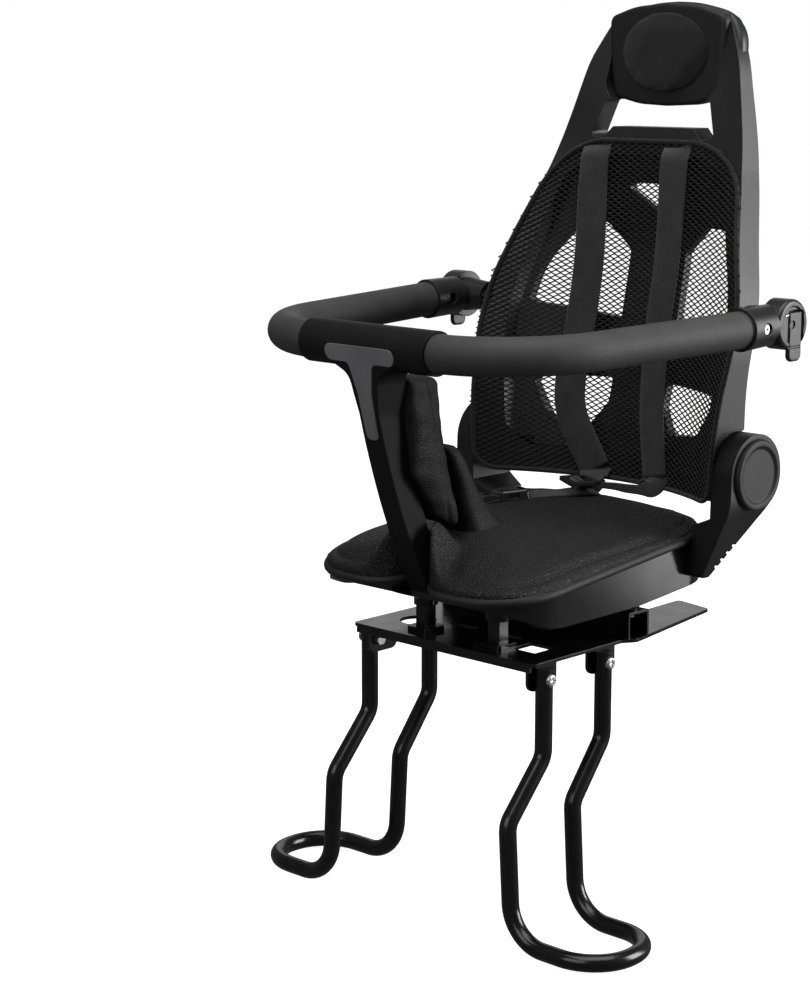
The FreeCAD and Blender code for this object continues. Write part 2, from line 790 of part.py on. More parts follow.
def back_frame():
    frame = through_back(back_outline(0)).common(rim_slab())
    frame = frame.cut(through_back(opening_outline(0)))
    frame = frame.cut(through_back(head_window()))
    web = through_back(opening_outline(6)).common(web_slab())
    for window in web_windows():
        web = web.cut(through_back(window))
    frame = frame.fuse(web)
    for side in (-1, 1):
        lug = x_rod(side * lug_inner, side * hinge_face, hinge_y, hinge_z, lug_r)
        frame = frame.fuse(lug.cut(back_slab(-60, 0)))
    for side in (-1, 1):
        beyond = box(hinge_face, slab_half, 40, 280, 40, hinge_z + arm_head_r + 2 * free_gap)
        frame = frame.cut(beyond if side > 0 else mirrored(beyond))
        bore = x_rod(side * (lug_inner - 20), side * (hinge_face + 1), hinge_y, hinge_z, pin_r + run_gap)
        frame = frame.cut(bore)
        frame = frame.cut(x_rod(side * stub_root, side * slab_half, bar_y, bar_z, stub_r + seat_gap))
    frame = frame.cut(head_panel_block(seat_gap, 60))
    return frame.removeSplitter()


def head_panel_block(grow, ahead=0):
    half = panel_half + grow
    corners = both_sides([(half - 12, panel_low - grow, 14), (half, panel_low + 14, 12),
                          (half - 2, panel_top - 16, 14), (half - 16, panel_top + grow, 12)])
    return prism(corners, on_xz(panel_front - grow - ahead), (0, panel_t + 2 * grow + ahead, 0))


def head_panel():
    panel = head_panel_block(0)
    front = [e for e in panel.Edges if e.BoundBox.YMax < panel_front + 0.01]
    panel = panel.makeFillet(3.0, front)
    recess = oval(pad_half_x + seat_gap, pad_half_z + seat_gap, panel_front - 1, panel_front + pad_sunk)
    return panel.cut(recess)


def oval(a, b, y0, y1):
    ring = Part.Ellipse(V(0, y0, pad_z), a, b)
    ring.rotate(FreeCAD.Placement(V(0, y0, pad_z), FreeCAD.Rotation(V(1, 0, 0), 90), V(0, 0, 0)))
    return Part.Face(Part.Wire([ring.toShape()])).extrude(V(0, y1 - y0, 0))


def head_pad():
    pad = oval(pad_half_x, pad_half_z, panel_front - pad_proud, panel_front + pad_sunk - seat_gap)
    front = [e for e in pad.Edges if e.BoundBox.YMax < panel_front - pad_proud + 0.01]
    return pad.makeFillet(pad_proud * 0.8, front)


# Mesh cover with see-through gaps in front of the web's windows
def mesh_outline():
    i = mesh_inset
    return both_sides([(back_hip - i, back_low, 16), (back_elbow - i, back_elbow_z, 160),
                       (back_kink - i, back_kink_z - 2, 26), (back_kink - 34, mesh_top, 30)])


def inside(corners, u, v, margin):
    signs = []
    for i in range(len(corners)):
        ua, va = corners[i - 1][:2]
        ub, vb = corners[i][:2]
        signs.append(((ub - ua) * (v - va) - (vb - va) * (u - ua)) / hypot(ub - ua, vb - va))
    return min(signs) > margin or max(signs) < -margin


def mesh_gaps():
    gaps = []
    rows = int((triangle_top - lower_low) / (gap_pitch_z / 2)) + 2
    for row in range(rows):
        z = lower_low + row * gap_pitch_z / 2
        for column in range(-7, 8):
            x = (column + (row % 2) / 2) * gap_pitch_x
            if any(inside(window, x, z, gap_half_z) for window in web_windows()):
                gaps.append((x, z))
    return gaps


def back_mesh():
    sheet = through_back(mesh_outline()).common(back_slab(-seat_gap - mesh_t, -seat_gap))
    holes = []
    for x, z in mesh_gaps():
        diamond = [(x - gap_half_x, z, 0), (x, z - gap_half_z, 0),
                   (x + gap_half_x, z, 0), (x, z + gap_half_z, 0)]
        holes.append(through_back(diamond))
    return sheet.cut(Part.makeCompound(holes))


# Shoulder straps lie on the mesh: a band in front view, cut from a thin slab
def shoulder_strap(centres):
    right = [(x + web_width / 2, z, r) for x, z, r in centres]
    left = [(x - web_width / 2, z, r) for x, z, r in reversed(centres)]
    near = -seat_gap - mesh_t - strap_lift
    return through_back(right + left).common(back_slab(near - web_thick, near))


strap_left_line = ((33, back_low + 6, 0), (30, 200, 200), (30, 280, 200), (34, 351, 0))
strap_right_line = ((-22, back_low + 6, 0), (-46, 150, 60), (-44, 250, 200), (-48, 351, 0))


# Bar, hubs and levers
lever_y = bar_y + lever_shift
bar_rise = (bar_z - bar_front_z) / (bar_y - bar_front)


def bar_point(x, y):
    return V(x, y, bar_front_z + bar_rise * (y - bar_front))


bar_lean = (bar_sleeve_x - bar_corner) / (bar_sleeve_y - bar_front)


def bar_side(y):
    return bar_point(bar_corner + bar_lean * (y - bar_front), y)


def bar_half_path(x0, y1):
    corner = bar_point(bar_corner, bar_front)
    return bent_path([(bar_point(x0, bar_front), 0), (corner, bar_bend), (bar_side(y1), 0)])


def bar_tube():
    near, far = bar_side(tube_end_y), bar_side(tube_end_y)
    far.x = -far.x
    path = bent_path([(far, 0), (bar_point(-bar_corner, bar_front), bar_bend),
                      (bar_point(bar_corner, bar_front), bar_bend), (near, 0)])
    tube = swept(path, bar_tube_r)
    for side in (-1, 1):
        p = bar_side(hub_screw_y)
        p.x = side * p.x
        tube = tube.cut(rod(p - V(20, 0, 0), p + V(20, 0, 0), screw_r + run_gap))
    return tube


def bar_foam():
    path = bar_half_path(t_half - foam_sunk, bar_sleeve_y + foam_sunk)
    return swept(path, foam_r).cut(swept(bar_half_path(t_half - 20, tube_end_y), bar_tube_r + run_gap))


def bar_hub():
    barrel = x_rod(hub_inner, hub_outer, bar_y, bar_z, hub_r)
    outer_edge = [e for e in barrel.Edges if e.BoundBox.XMin > hub_outer - 0.01]
    barrel = barrel.makeFillet(hub_round, outer_edge)
    way = bar_side(bar_y).sub(bar_side(bar_sleeve_y))
    way.normalize()
    mouth = bar_side(bar_sleeve_y)
    sleeve = rod(mouth, V(hub_mid, bar_y - 6, bar_z), sleeve_lip_r, sleeve_r)
    near_stub = bar_y - stub_wide_r - 2 * free_gap
    stub_room = box(hub_inner - 30, hub_inner, near_stub, bar_y + hub_r, bar_z - 30, bar_z + 30)
    hub = barrel.fuse(sleeve.cut(stub_room))
    hub = hub.cut(rod(mouth - way * 2, mouth + way * (foam_sunk + free_gap), foam_r + seat_gap))
    hub = hub.cut(rod(mouth, bar_side(tube_end_y), bar_tube_r + seat_gap))
    hub = hub.cut(x_rod(hub_inner - 1, journal_end + free_gap, bar_y, bar_z, journal_r + run_gap))
    face = hub_outer
    hub = hub.cut(x_rod(face - hub_dish, face + 1, bar_y, bar_z, hub_dish_r - 1.5, hub_dish_r))
    half = lever_half + lever_slit
    slot = [(lever_y - half, bar_z - 30, 0), (lever_y + half, bar_z - 30, 0),
            (lever_y + half, bar_z + lever_pivot + 3.4, 3), (lever_y - half, bar_z + lever_pivot + 3.4, 3)]
    hub = hub.cut(prism(slot, on_yz(face - lever_floor), (lever_floor + 2, 0, 0)))
    hub = hub.cut(lever_pin_rod(run_gap))
    p = bar_side(hub_screw_y)
    hub = hub.cut(rod(p - V(20, 0, 0), p + V(20, 0, 0), screw_r + run_gap))
    for way in (-1, 1):
        hub = hub.cut(rod(p + V(way * hub_screw_seat, 0, 0), p + V(way * 20, 0, 0), hub_screw_hole_r))
    return hub.removeSplitter()


lever_x = hub_outer - lever_floor + 0.6 + lever_t / 2


def lever_pin_rod(grow):
    half = lever_half + lever_slit + 3
    z = bar_z + lever_pivot
    return rod(V(lever_x, lever_y - half, z), V(lever_x, lever_y + half, z), lever_pin_r + grow)


def release_lever():
    z = bar_z + lever_pivot
    corners = [(lever_y - lever_half, bar_z - lever_low, 5), (lever_y + lever_half, bar_z - lever_low, 5),
               (lever_y + lever_half, z + 2.3, 1), (lever_y - lever_half, z + 2.3, 1)]
    lever = prism(corners, on_yz(lever_x - lever_t / 2), (lever_t, 0, 0))
    top = [e for e in lever.Edges if e.BoundBox.ZMin > z + 2.2 and e.BoundBox.YLength > lever_half]
    lever = lever.makeFillet(1.9, top)
    face = lever_x + lever_t / 2
    lever = lever.cut(x_rod(face - lever_dimple, face + 1, bar_y, bar_z, lever_dimple_r))
    groove_z = bar_z - lever_groove
    reach = 2 * lever_half
    groove = rod(V(face, lever_y - reach, groove_z), V(face, lever_y + reach, groove_z), lever_dimple)
    return lever.cut(groove).cut(lever_pin_rod(run_gap))


def bar_stub():
    end = hub_inner - free_gap
    stub = x_rod(stub_root, stub_neck + 1, bar_y, bar_z, stub_r)
    cone = x_rod(stub_neck, end, bar_y, bar_z, stub_neck_r, stub_wide_r)
    journal = x_rod(end - 1, journal_end, bar_y, bar_z, journal_r)
    return stub.fuse(cone).fuse(journal).removeSplitter()


# T post: a sleeve round the bar and a bowed post in one piece
def bowed(front, front_shift, rear, rear_shift, half):
    place = on_yz(-half)
    a, m, b = [place(y + front_shift, z) for y, z in front]
    c, n, d = [place(y + rear_shift, z) for y, z in rear]
    wire = Part.Wire([Part.Arc(a, m, b).toShape(), Part.LineSegment(b, d).toShape(),
                      Part.Arc(d, n, c).toShape(), Part.LineSegment(c, a).toShape()])
    return Part.Face(wire).extrude(V(2 * half, 0, 0))


def seen_from_front(corners):
    return prism(corners, on_xz(bar_front - 60), (0, 160, 0))


def post_outline(grow):
    top = bar_front_z
    return both_sides([(post_half_top + grow, top + 4, 0), (post_half_top + grow, top - 8, 4),
                       (post_half + 4 + grow, post_neck + 8, 12), (post_half + grow, post_neck - 20, 30),
                       (post_half + grow, 30, 0)])


def post_body(grow):
    body = bowed(post_front, -grow, post_rear, grow, post_half_top + 10)
    return body.common(seen_from_front(post_outline(grow)))


def insert_body(grow, front_shift, rear_shift):
    low = insert_top - insert_bar
    outline = both_sides([(insert_half + grow, insert_top + grow, insert_bar / 2 - 0.1),
                          (insert_half + grow, low - grow, insert_bar / 2 - 0.1),
                          (insert_stem + 5 + grow, low - grow, 5), (insert_stem + grow, low - 22, 30),
                          (insert_stem - 1 + grow, insert_low - grow, 4)])
    slab = bowed(post_front, front_shift, post_front, rear_shift, post_half_top + 10)
    return slab.common(seen_from_front(outline))


def t_sleeve(r):
    return x_rod(-t_half, t_half, bar_front, bar_front_z, r)


def t_post():
    post = t_sleeve(t_r).fuse(post_body(0))
    post = post.cut(insert_body(seat_gap, -20, insert_sunk))
    post = post.cut(x_rod(-t_half - 1, t_half + 1, bar_front, bar_front_z, bar_tube_r + run_gap))
    for side in (-1, 1):
        mouth = V(side * (t_half - foam_sunk), bar_front, bar_front_z)
        post = post.cut(rod(mouth, V(side * (t_half + 1), bar_front, bar_front_z), foam_r + seat_gap))
    return post.removeSplitter()


def t_insert():
    return insert_body(0, -insert_proud, insert_sunk - seat_gap)


def crotch_block(half, drop):
    profile = [(y, z - drop, r) for y, z, r in crotch_profile]
    return prism(profile, on_yz(-half), (2 * half, 0, 0))


def crotch_pad():
    pad = crotch_block(crotch_half, 0)
    sides = [e for e in pad.Edges if e.BoundBox.XLength < 0.01]
    pad = pad.makeFillet(crotch_edge, sides)
    slit = post_body(seat_gap)
    slit.translate(V(0, -20, 0))
    pad = pad.cut(post_body(seat_gap)).cut(slit)
    return pad.cut(t_sleeve(t_r + seat_gap))


def crotch_tongue():
    tongue = prism(list(tongue_profile), on_yz(-tongue_half), (2 * tongue_half, 0, 0))
    outline = both_sides([(tongue_half, tongue_top, tongue_round), (tongue_half, tongue_top - 80, 0)])
    return tongue.common(prism(outline, on_xz(-60), (0, 60, 0)))


def hub_screws():
    solids = []
    for side in (-1, 1):
        p = bar_side(hub_screw_y)
        screw = rod(p - V(hub_screw_seat, 0, 0), p + V(hub_screw_seat, 0, 0), screw_r)
        for way in (-1, 1):
            seat = p + V(way * hub_screw_seat, 0, 0)
            top = seat + V(way * hub_screw_head_h, 0, 0)
            screw = screw.fuse(rod(seat, top, hub_screw_head_r))
            screw = screw.cut(cross_recess(top.x, way * recess_depth, p.y, p.z, hub_screw_head_r))
        screw = screw.removeSplitter()
        solids.append(screw if side > 0 else mirrored(screw))
    return Part.makeCompound(solids)


# Harness on the seat, along a slanting line
lap_run = V(lap_to[0] - lap_from[0], lap_to[1] - lap_from[1], 0)
lap_turn = degrees(atan2(lap_run.y, lap_run.x))


def cushion_height(x, y):
    for near, far in zip(cushion_sections[1:], cushion_sections):
        if near[0] <= y <= far[0]:
            t = (y - near[0]) / (far[0] - near[0])
            middle, edge = near[1] + t * (far[1] - near[1]), near[2] + t * (far[2] - near[2])
            return middle - (middle - edge) * (x / (pan_half + 4)) ** 2
    return rim(y)


# Set a shape, modelled with its length along X, on the seat at a share of the strap's length
def on_seat(shape, share, lift):
    x, y = lap_from[0] + share * lap_run.x, lap_from[1] + share * lap_run.y
    lean = (cushion_height(x + 1, y) - cushion_height(x - 1, y)) / 2
    shape.rotate(V(0, 0, 0), V(0, 0, 1), lap_turn)
    shape.rotate(V(0, 0, 0), V(0, 1, 0), -degrees(atan(lean)))
    shape.translate(V(x, y, cushion_height(x, y) + lift))
    return shape


above_strap = strap_lift + web_thick + 3 * seat_gap


def lap_strap():
    side = V(-lap_run.y, lap_run.x, 0)
    side.normalize()
    a, b = V(*lap_from, 60), V(*lap_to, 60)
    corners = [a - side * (web_width / 2), b - side * (web_width / 2),
               b + side * (web_width / 2), a + side * (web_width / 2)]
    band = Part.Face(Part.makePolygon(corners + corners[:1])).extrude(V(0, 0, 60))
    skin = cushion_crown(strap_lift + web_thick).cut(cushion_crown(strap_lift))
    roll = rod(V(0, -web_width / 2, fold_r), V(0, web_width / 2, fold_r), fold_r)
    return Part.makeCompound([band.common(skin), on_seat(roll, fold_at, above_strap)])


# Socket with a plug latched in it: the plug's two side prongs show in the socket's open sides
def harness_buckle():
    half = buckle_w / 2
    socket = prism([(0, -half, 4), (buckle_socket, -half + 2, 4), (buckle_socket, half - 2, 4), (0, half, 4)],
                   on_xy(0), (0, 0, buckle_t))
    top = [e for e in socket.Edges if e.BoundBox.ZMin > buckle_t - 0.01]
    socket = socket.makeFillet(2.0, top)
    for side in (-1, 1):
        y = side * half
        mouth = box(6, 6 + prong_length, min(y, y - side * 4), max(y, y - side * 4), 2.5, buckle_t - 2.5)
        socket = socket.cut(mouth)
    slot = box(buckle_socket - 7, buckle_socket - 3, -web_width / 2, web_width / 2, -1, buckle_t + 1)
    socket = socket.cut(slot)
    plug = box(-buckle_plug, -prong_length / 2, -half + 3, half - 3, 1, buckle_t - 2)
    plug = plug.cut(box(-buckle_plug + 3, -buckle_plug + 7, -web_width / 2 + 2, web_width / 2 - 2, 0, buckle_t))
    for y in (-half + 3, -prong_w / 2, half - 3 - prong_w):
        plug = plug.fuse(box(-prong_length / 2 - 1, -seat_gap, y, y + prong_w, 2, buckle_t - 3))
    pieces = [socket, plug.removeSplitter()]
    under = cushion_crown(above_strap)
    return Part.makeCompound([on_seat(piece, buckle_at, above_strap).cut(under) for piece in pieces])


# Three-bar slide on the rolled end
def strap_slider():
    a, b = slider_length / 2, slider_w / 2
    frame = prism([(-a, -b, 4), (a, -b, 4), (a, b, 4), (-a, b, 4)], on_xy(0), (0, 0, slider_t))
    w = (slider_length - 3 * slider_bar) / 2
    for x in (-a + slider_bar, slider_bar / 2):
        frame = frame.cut(box(x, x + w, -web_width / 2, web_width / 2, -1, slider_t + 1))
    return on_seat(frame, fold_at, above_strap + 2 * fold_r + seat_gap)


os.makedirs("parts", exist_ok=True)
pieces = {
    "mount_plate": mount_plate(),
    "footrest_screws": footrest_screws(),
    "footrest_nuts": footrest_nuts(),
    "rear_channel": rear_channel(),
    "seat_bolts": seat_bolts(),
    "seat_pan": seat_pan(),
    "seat_cushion": seat_cushion(),
    "arm_screws": arm_screws(),
    "back_frame": back_frame(),
    "head_panel": head_panel(),
    "head_pad": head_pad(),
    "back_mesh": back_mesh(),
    "shoulder_strap_left": shoulder_strap(strap_left_line),
    "shoulder_strap_right": shoulder_strap(strap_right_line),
    "bar_tube": bar_tube(),
    "t_post": t_post(),
    "t_insert": t_insert(),
    "crotch_pad": crotch_pad(),
    "crotch_tongue": crotch_tongue(),
    "hub_screws": hub_screws(),
    "lap_strap": lap_strap(),
    "harness_buckle": harness_buckle(),
    "strap_slider": strap_slider(),
}
pairs = {
    "footrest": footrest(),
    "front_stand": front_stand(),
    "hinge_arm": hinge_arm(),
    "hinge_cap": hinge_cap(),
    "hinge_pin": hinge_pin(),
    "bar_foam": bar_foam(),
    "bar_hub": bar_hub(),
    "bar_stub": bar_stub(),
    "release_lever": release_lever(),
    "lever_pin": lever_pin_rod(0),
}
for name, shape in pairs.items():
    pieces[name + "_left"] = shape
    pieces[name + "_right"] = mirrored(shape)
for name, shape in pieces.items():
    shape.exportStep("parts/%s.step" % name)
    print(name, "valid" if shape.isValid() else "NOT VALID", len(shape.Solids), round(shape.Volume))
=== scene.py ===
from math import acos, cos, hypot, pi, radians, sin, tan

import bmesh
import bpy
import numpy as np
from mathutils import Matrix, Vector, noise
from mathutils.bvhtree import BVHTree


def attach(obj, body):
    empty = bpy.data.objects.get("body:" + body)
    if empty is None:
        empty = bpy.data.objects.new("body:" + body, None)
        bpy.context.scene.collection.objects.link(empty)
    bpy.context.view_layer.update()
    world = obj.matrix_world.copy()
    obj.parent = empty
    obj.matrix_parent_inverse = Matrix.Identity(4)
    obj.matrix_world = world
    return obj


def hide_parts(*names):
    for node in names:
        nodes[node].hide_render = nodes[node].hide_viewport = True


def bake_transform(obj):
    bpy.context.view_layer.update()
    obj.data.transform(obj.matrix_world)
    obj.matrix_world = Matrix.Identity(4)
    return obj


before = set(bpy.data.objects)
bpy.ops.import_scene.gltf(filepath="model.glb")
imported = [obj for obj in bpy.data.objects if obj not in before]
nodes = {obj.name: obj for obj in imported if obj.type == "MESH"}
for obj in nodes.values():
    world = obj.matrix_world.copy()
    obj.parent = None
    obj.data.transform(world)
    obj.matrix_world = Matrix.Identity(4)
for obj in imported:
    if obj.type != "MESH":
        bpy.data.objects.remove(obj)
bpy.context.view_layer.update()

scene = bpy.context.scene
mm = 0.001
print("frame loaded:", len(nodes), "nodes")


def linked(name, mesh):
    obj = bpy.data.objects.new(name, mesh)
    scene.collection.objects.link(obj)
    return obj


def smoothShaded(obj):
    obj.data.polygons.foreach_set("use_smooth", [True] * len(obj.data.polygons))
    return obj


def meshObject(name, verts, faces):
    mesh = bpy.data.meshes.new(name)
    mesh.from_pydata([tuple(v) for v in verts], [], faces)
    mesh.validate()
    mesh.update()
    obj = smoothShaded(linked(name, mesh))
    bm = bmesh.new()
    bm.from_mesh(mesh)
    bmesh.ops.recalc_face_normals(bm, faces=bm.faces)
    bm.to_mesh(mesh)
    bm.free()
    return obj


def bakeModifiers(obj):
    deps = bpy.context.evaluated_depsgraph_get()
    made = bpy.data.meshes.new_from_object(obj.evaluated_get(deps))
    obj.modifiers.clear()
    obj.data = made
    return obj


def readVerts(mesh, what="co"):
    values = np.zeros(len(mesh.vertices) * 3)
    mesh.vertices.foreach_get(what, values)
    return values.reshape(-1, 3)


def writeVerts(mesh, values):
    mesh.vertices.foreach_set("co", np.asarray(values).ravel())
    mesh.update()


def surfaceOf(obj):
    bm = bmesh.new()
    bm.from_mesh(obj.data)
    tree = BVHTree.FromBMesh(bm)
    bm.free()
    return tree


# smooth rise and fall in space, the same on every run
def waves(points, size, shift=0.0):
    return np.array([noise.noise(Vector(p) / size + Vector((shift, 0, 0))) for p in points])


def ease(values, low, high):
    t = np.clip((np.asarray(values) - low) / (high - low), 0, 1)
    return t * t * (3 - 2 * t)


# a closed loop through (u, v, radius) corners in millimetres, each rounded, as even points in metres
def roundedLoop(corners, step):
    points = []
    count = len(corners)
    for i in range(count):
        u, v, r = corners[i]
        ua, va = corners[i - 1][:2]
        ub, vb = corners[(i + 1) % count][:2]
        la, lb = hypot(ua - u, va - v), hypot(ub - u, vb - v)
        a = np.array([(ua - u) / la, (va - v) / la])
        b = np.array([(ub - u) / lb, (vb - v) / lb])
        half = acos(max(-1.0, min(1.0, float(a @ b)))) / 2
        if r <= 0:
            points.append((u * mm, v * mm))
            continue
        start, end = np.array([u, v]) + a * r / tan(half), np.array([u, v]) + b * r / tan(half)
        middle = (a + b) / np.linalg.norm(a + b)
        centre = np.array([u, v]) + middle * (r / sin(half))
        for k in range(13):
            p = start * (1 - k / 12) + end * k / 12 - centre
            points.append(tuple((centre + p / np.linalg.norm(p) * r) * mm))
    return evenLoop(points, step)


def evenLoop(points, step):
    pts = np.array(list(points) + list(points[:1]), float)
    lengths = np.concatenate([[0], np.cumsum(np.linalg.norm(np.diff(pts, axis=0), axis=1))])
    marks = np.linspace(0, lengths[-1], max(12, int(lengths[-1] / step)), endpoint=False)
    return np.stack([np.interp(marks, lengths, pts[:, k]) for k in range(pts.shape[1])], axis=1)


def bothSides(half):
    return half + [(-u, v, r) for u, v, r in reversed(half)]


# a smooth line through the points, read at even steps
def smoothLine(points, count):
    pts = np.array(points, float)
    lengths = np.concatenate([[0], np.cumsum(np.linalg.norm(np.diff(pts, axis=0), axis=1))])
    out = []
    for s in np.linspace(0, lengths[-1], count):
        i = min(len(pts) - 2, max(0, int(np.searchsorted(lengths, s, side="right")) - 1))
        t = (s - lengths[i]) / max(1e-9, lengths[i + 1] - lengths[i])
        p0, p1, p2, p3 = pts[max(0, i - 1)], pts[i], pts[i + 1], pts[min(len(pts) - 1, i + 2)]
        out.append(0.5 * (2 * p1 + (p2 - p0) * t + (2 * p0 - 5 * p1 + 4 * p2 - p3) * t * t
                          + (3 * p1 - p0 - 3 * p2 + p3) * t ** 3))
    return np.array(out)


def edgeDistance(points, loop):
    a = loop
    ab = np.roll(loop, -1, axis=0) - a
    best = np.zeros(len(points))
    for s in range(0, len(points), 4000):
        p = points[s:s + 4000, None, :] - a[None]
        t = np.clip((p * ab).sum(2) / (ab * ab).sum(1), 0, 1)
        best[s:s + 4000] = np.linalg.norm(p - t[..., None] * ab, axis=2).min(1)
    return best


def insideLoop(loop, x, y):
    a, b = loop, np.roll(loop, -1, axis=0)
    cross = (a[:, 1] > y) != (b[:, 1] > y)
    xs = a[:, 0] + (y - a[:, 1]) / np.where(cross, b[:, 1] - a[:, 1], 1) * (b[:, 0] - a[:, 0])
    return bool(np.sum(cross & (x < xs)) % 2)


def insetLoop(loop, depth, step):
    way = np.roll(loop, -1, axis=0) - np.roll(loop, 1, axis=0)
    way /= np.linalg.norm(way, axis=1, keepdims=True)
    out = loop + np.stack([-way[:, 1], way[:, 0]], axis=1) * depth
    if not insideLoop(loop, *out[0]):
        out = loop - np.stack([-way[:, 1], way[:, 0]], axis=1) * depth
    keep = edgeDistance(out, loop) > 0.97 * depth
    return evenLoop([tuple(p) for p in out[keep]], step)


# side and end faces of rings of n points stacked one after another
def ringFaces(rings, n):
    faces = [(i * n + k, i * n + (k + 1) % n, (i + 1) * n + (k + 1) % n, (i + 1) * n + k)
             for i in range(rings - 1) for k in range(n)]
    return faces + [tuple(reversed(range(n))), tuple(range((rings - 1) * n, rings * n))]


# tube along points; the radius may change along it, and closed loops join their ends
def tubeParts(points, radius, sides=10, closed=False):
    pts = [Vector(p) for p in points]
    count = len(pts)
    radii = radius if hasattr(radius, "__len__") else [radius] * count
    verts, faces = [], []
    for i, p in enumerate(pts):
        ahead = pts[(i + 1) % count] if closed or i < count - 1 else p
        behind = pts[i - 1] if closed or i > 0 else p
        way = (ahead - behind).normalized()
        side = way.cross(Vector((0, 0, 1)))
        if side.length < 1e-3:
            side = way.cross(Vector((1, 0, 0)))
        side.normalize()
        top = side.cross(way).normalized()
        for k in range(sides):
            a = 2 * pi * k / sides
            verts.append(p + (side * cos(a) + top * sin(a)) * radii[i])
    for i in range(count if closed else count - 1):
        j = (i + 1) % count
        for k in range(sides):
            n = (k + 1) % sides
            faces.append((i * sides + k, i * sides + n, j * sides + n, j * sides + k))
    if not closed:
        faces.append(tuple(reversed(range(sides))))
        faces.append(tuple(range((count - 1) * sides, count * sides)))
    return verts, faces


def tubeAlong(name, points, radius, sides=10, closed=False):
    return meshObject(name, *tubeParts(points, radius, sides, closed))


# a row of short raised stitches along a closed line of points
def stitchRow(name, points, length, radius):
    verts, faces = [], []
    count = len(points)
    for i in range(count):
        p = Vector(points[i])
        way = (Vector(points[(i + 1) % count]) - Vector(points[i - 1])).normalized()
        line = [p + way * length * s for s in (-0.5, -0.38, 0, 0.38, 0.5)]
        for k, sink in enumerate((0.8, 0.2, 0, 0.2, 0.8)):
            line[k].z -= sink * radius
        v, f = tubeParts(line, [radius * r for r in (0.45, 0.9, 1, 0.9, 0.45)], 6)
        faces += [tuple(n + len(verts) for n in face) for face in f]
        verts += v
    return meshObject(name, verts, faces)


def material(name, colour, rough, metal=0.0, shine=0.5):
    mat = bpy.data.materials.new(name)
    mat.use_nodes = True
    shader = mat.node_tree.nodes["Principled BSDF"]
    shader.inputs["Base Color"].default_value = (*colour, 1)
    shader.inputs["Roughness"].default_value = rough
    shader.inputs["Metallic"].default_value = metal
    shader.inputs["Specular IOR Level"].default_value = shine
    return mat, mat.node_tree, shader


def node(tree, kind, **values):
    made = tree.nodes.new(kind)
    for key, value in values.items():
        if key in made.inputs:
            made.inputs[key].default_value = value
        else:
            setattr(made, key, value)
    return made


def coords(tree, kind="Object"):
    return node(tree, "ShaderNodeTexCoord").outputs[kind]


def noiseTex(tree, at, scale, detail=3.0):
    made = node(tree, "ShaderNodeTexNoise", Scale=scale, Detail=detail)
    tree.links.new(at, made.inputs["Vector"])
    return made.outputs["Fac"]


def cellTex(tree, at, scale, feature="F1"):
    made = node(tree, "ShaderNodeTexVoronoi", feature=feature, Scale=scale)
    tree.links.new(at, made.inputs["Vector"])
    return made.outputs["Distance"]


def ramp(tree, source, low, high, lowAt=0.3, highAt=0.7):
    made = node(tree, "ShaderNodeValToRGB")
    for element, at, colour in zip(made.color_ramp.elements, (lowAt, highAt), (low, high)):
        element.position = at
        element.color = (*colour, 1)
    tree.links.new(source, made.inputs["Fac"])
    return made.outputs["Color"]


def spread(tree, source, low, high, fromLow=0.0, fromHigh=1.0):
    made = node(tree, "ShaderNodeMapRange")
    for key, value in zip(("From Min", "From Max", "To Min", "To Max"), (fromLow, fromHigh, low, high)):
        made.inputs[key].default_value = value
    tree.links.new(source, made.inputs["Value"])
    return made.outputs["Result"]


def math2(tree, op, a, b=0.0):
    made = node(tree, "ShaderNodeMath", operation=op)
    for socket, value in zip(made.inputs, (a, b)):
        if isinstance(value, (int, float)):
            socket.default_value = value
        else:
            tree.links.new(value, socket)
    return made.outputs[0]


def bump(tree, shader, height, strength, distance, edge=None):
    made = node(tree, "ShaderNodeBump", Strength=strength, Distance=distance)
    tree.links.new(height, made.inputs["Height"])
    if edge is not None:
        tree.links.new(edge, made.inputs["Normal"])
    tree.links.new(made.outputs["Normal"], shader.inputs["Normal"])


# softened edges, and a mask of where they are, for painted edge highlights
def edges(tree, radius):
    soft = node(tree, "ShaderNodeBevel", samples=4, Radius=radius).outputs["Normal"]
    along = node(tree, "ShaderNodeVectorMath", operation="DOT_PRODUCT")
    tree.links.new(soft, along.inputs[0])
    tree.links.new(node(tree, "ShaderNodeNewGeometry").outputs["Normal"], along.inputs[1])
    return soft, spread(tree, along.outputs["Value"], 1.0, 0.0, 0.75, 0.98)


def shades(colour, low, high):
    return [c * low for c in colour], [c * high for c in colour]


# moulded plastic: fine spark texture, cloudy gloss, edges painted a little paler as painted highlights
def mouldedPlastic(name, colour, rough, grain=1500, depth=0.12, shine=0.4, edge=0.9 * mm):
    mat, tree, shader = material(name, colour, rough, shine=shine)
    at = coords(tree)
    cloud = noiseTex(tree, at, 28.0, 4.0)
    soft, edgeHighlight = edges(tree, edge)
    # colour: cloudy random tone, plus a painted highlight that lightens every edge
    tone = math2(tree, "ADD", math2(tree, "MULTIPLY", cloud, 0.6), math2(tree, "MULTIPLY", edgeHighlight, 0.5))
    tree.links.new(ramp(tree, tone, *shades(colour, 0.85, 1.9), 0.2, 0.95), shader.inputs["Base Color"])
    tree.links.new(spread(tree, cloud, rough - 0.06, rough + 0.08), shader.inputs["Roughness"])
    bump(tree, shader, noiseTex(tree, at, grain), depth, 0.15 * mm, soft)
    return mat


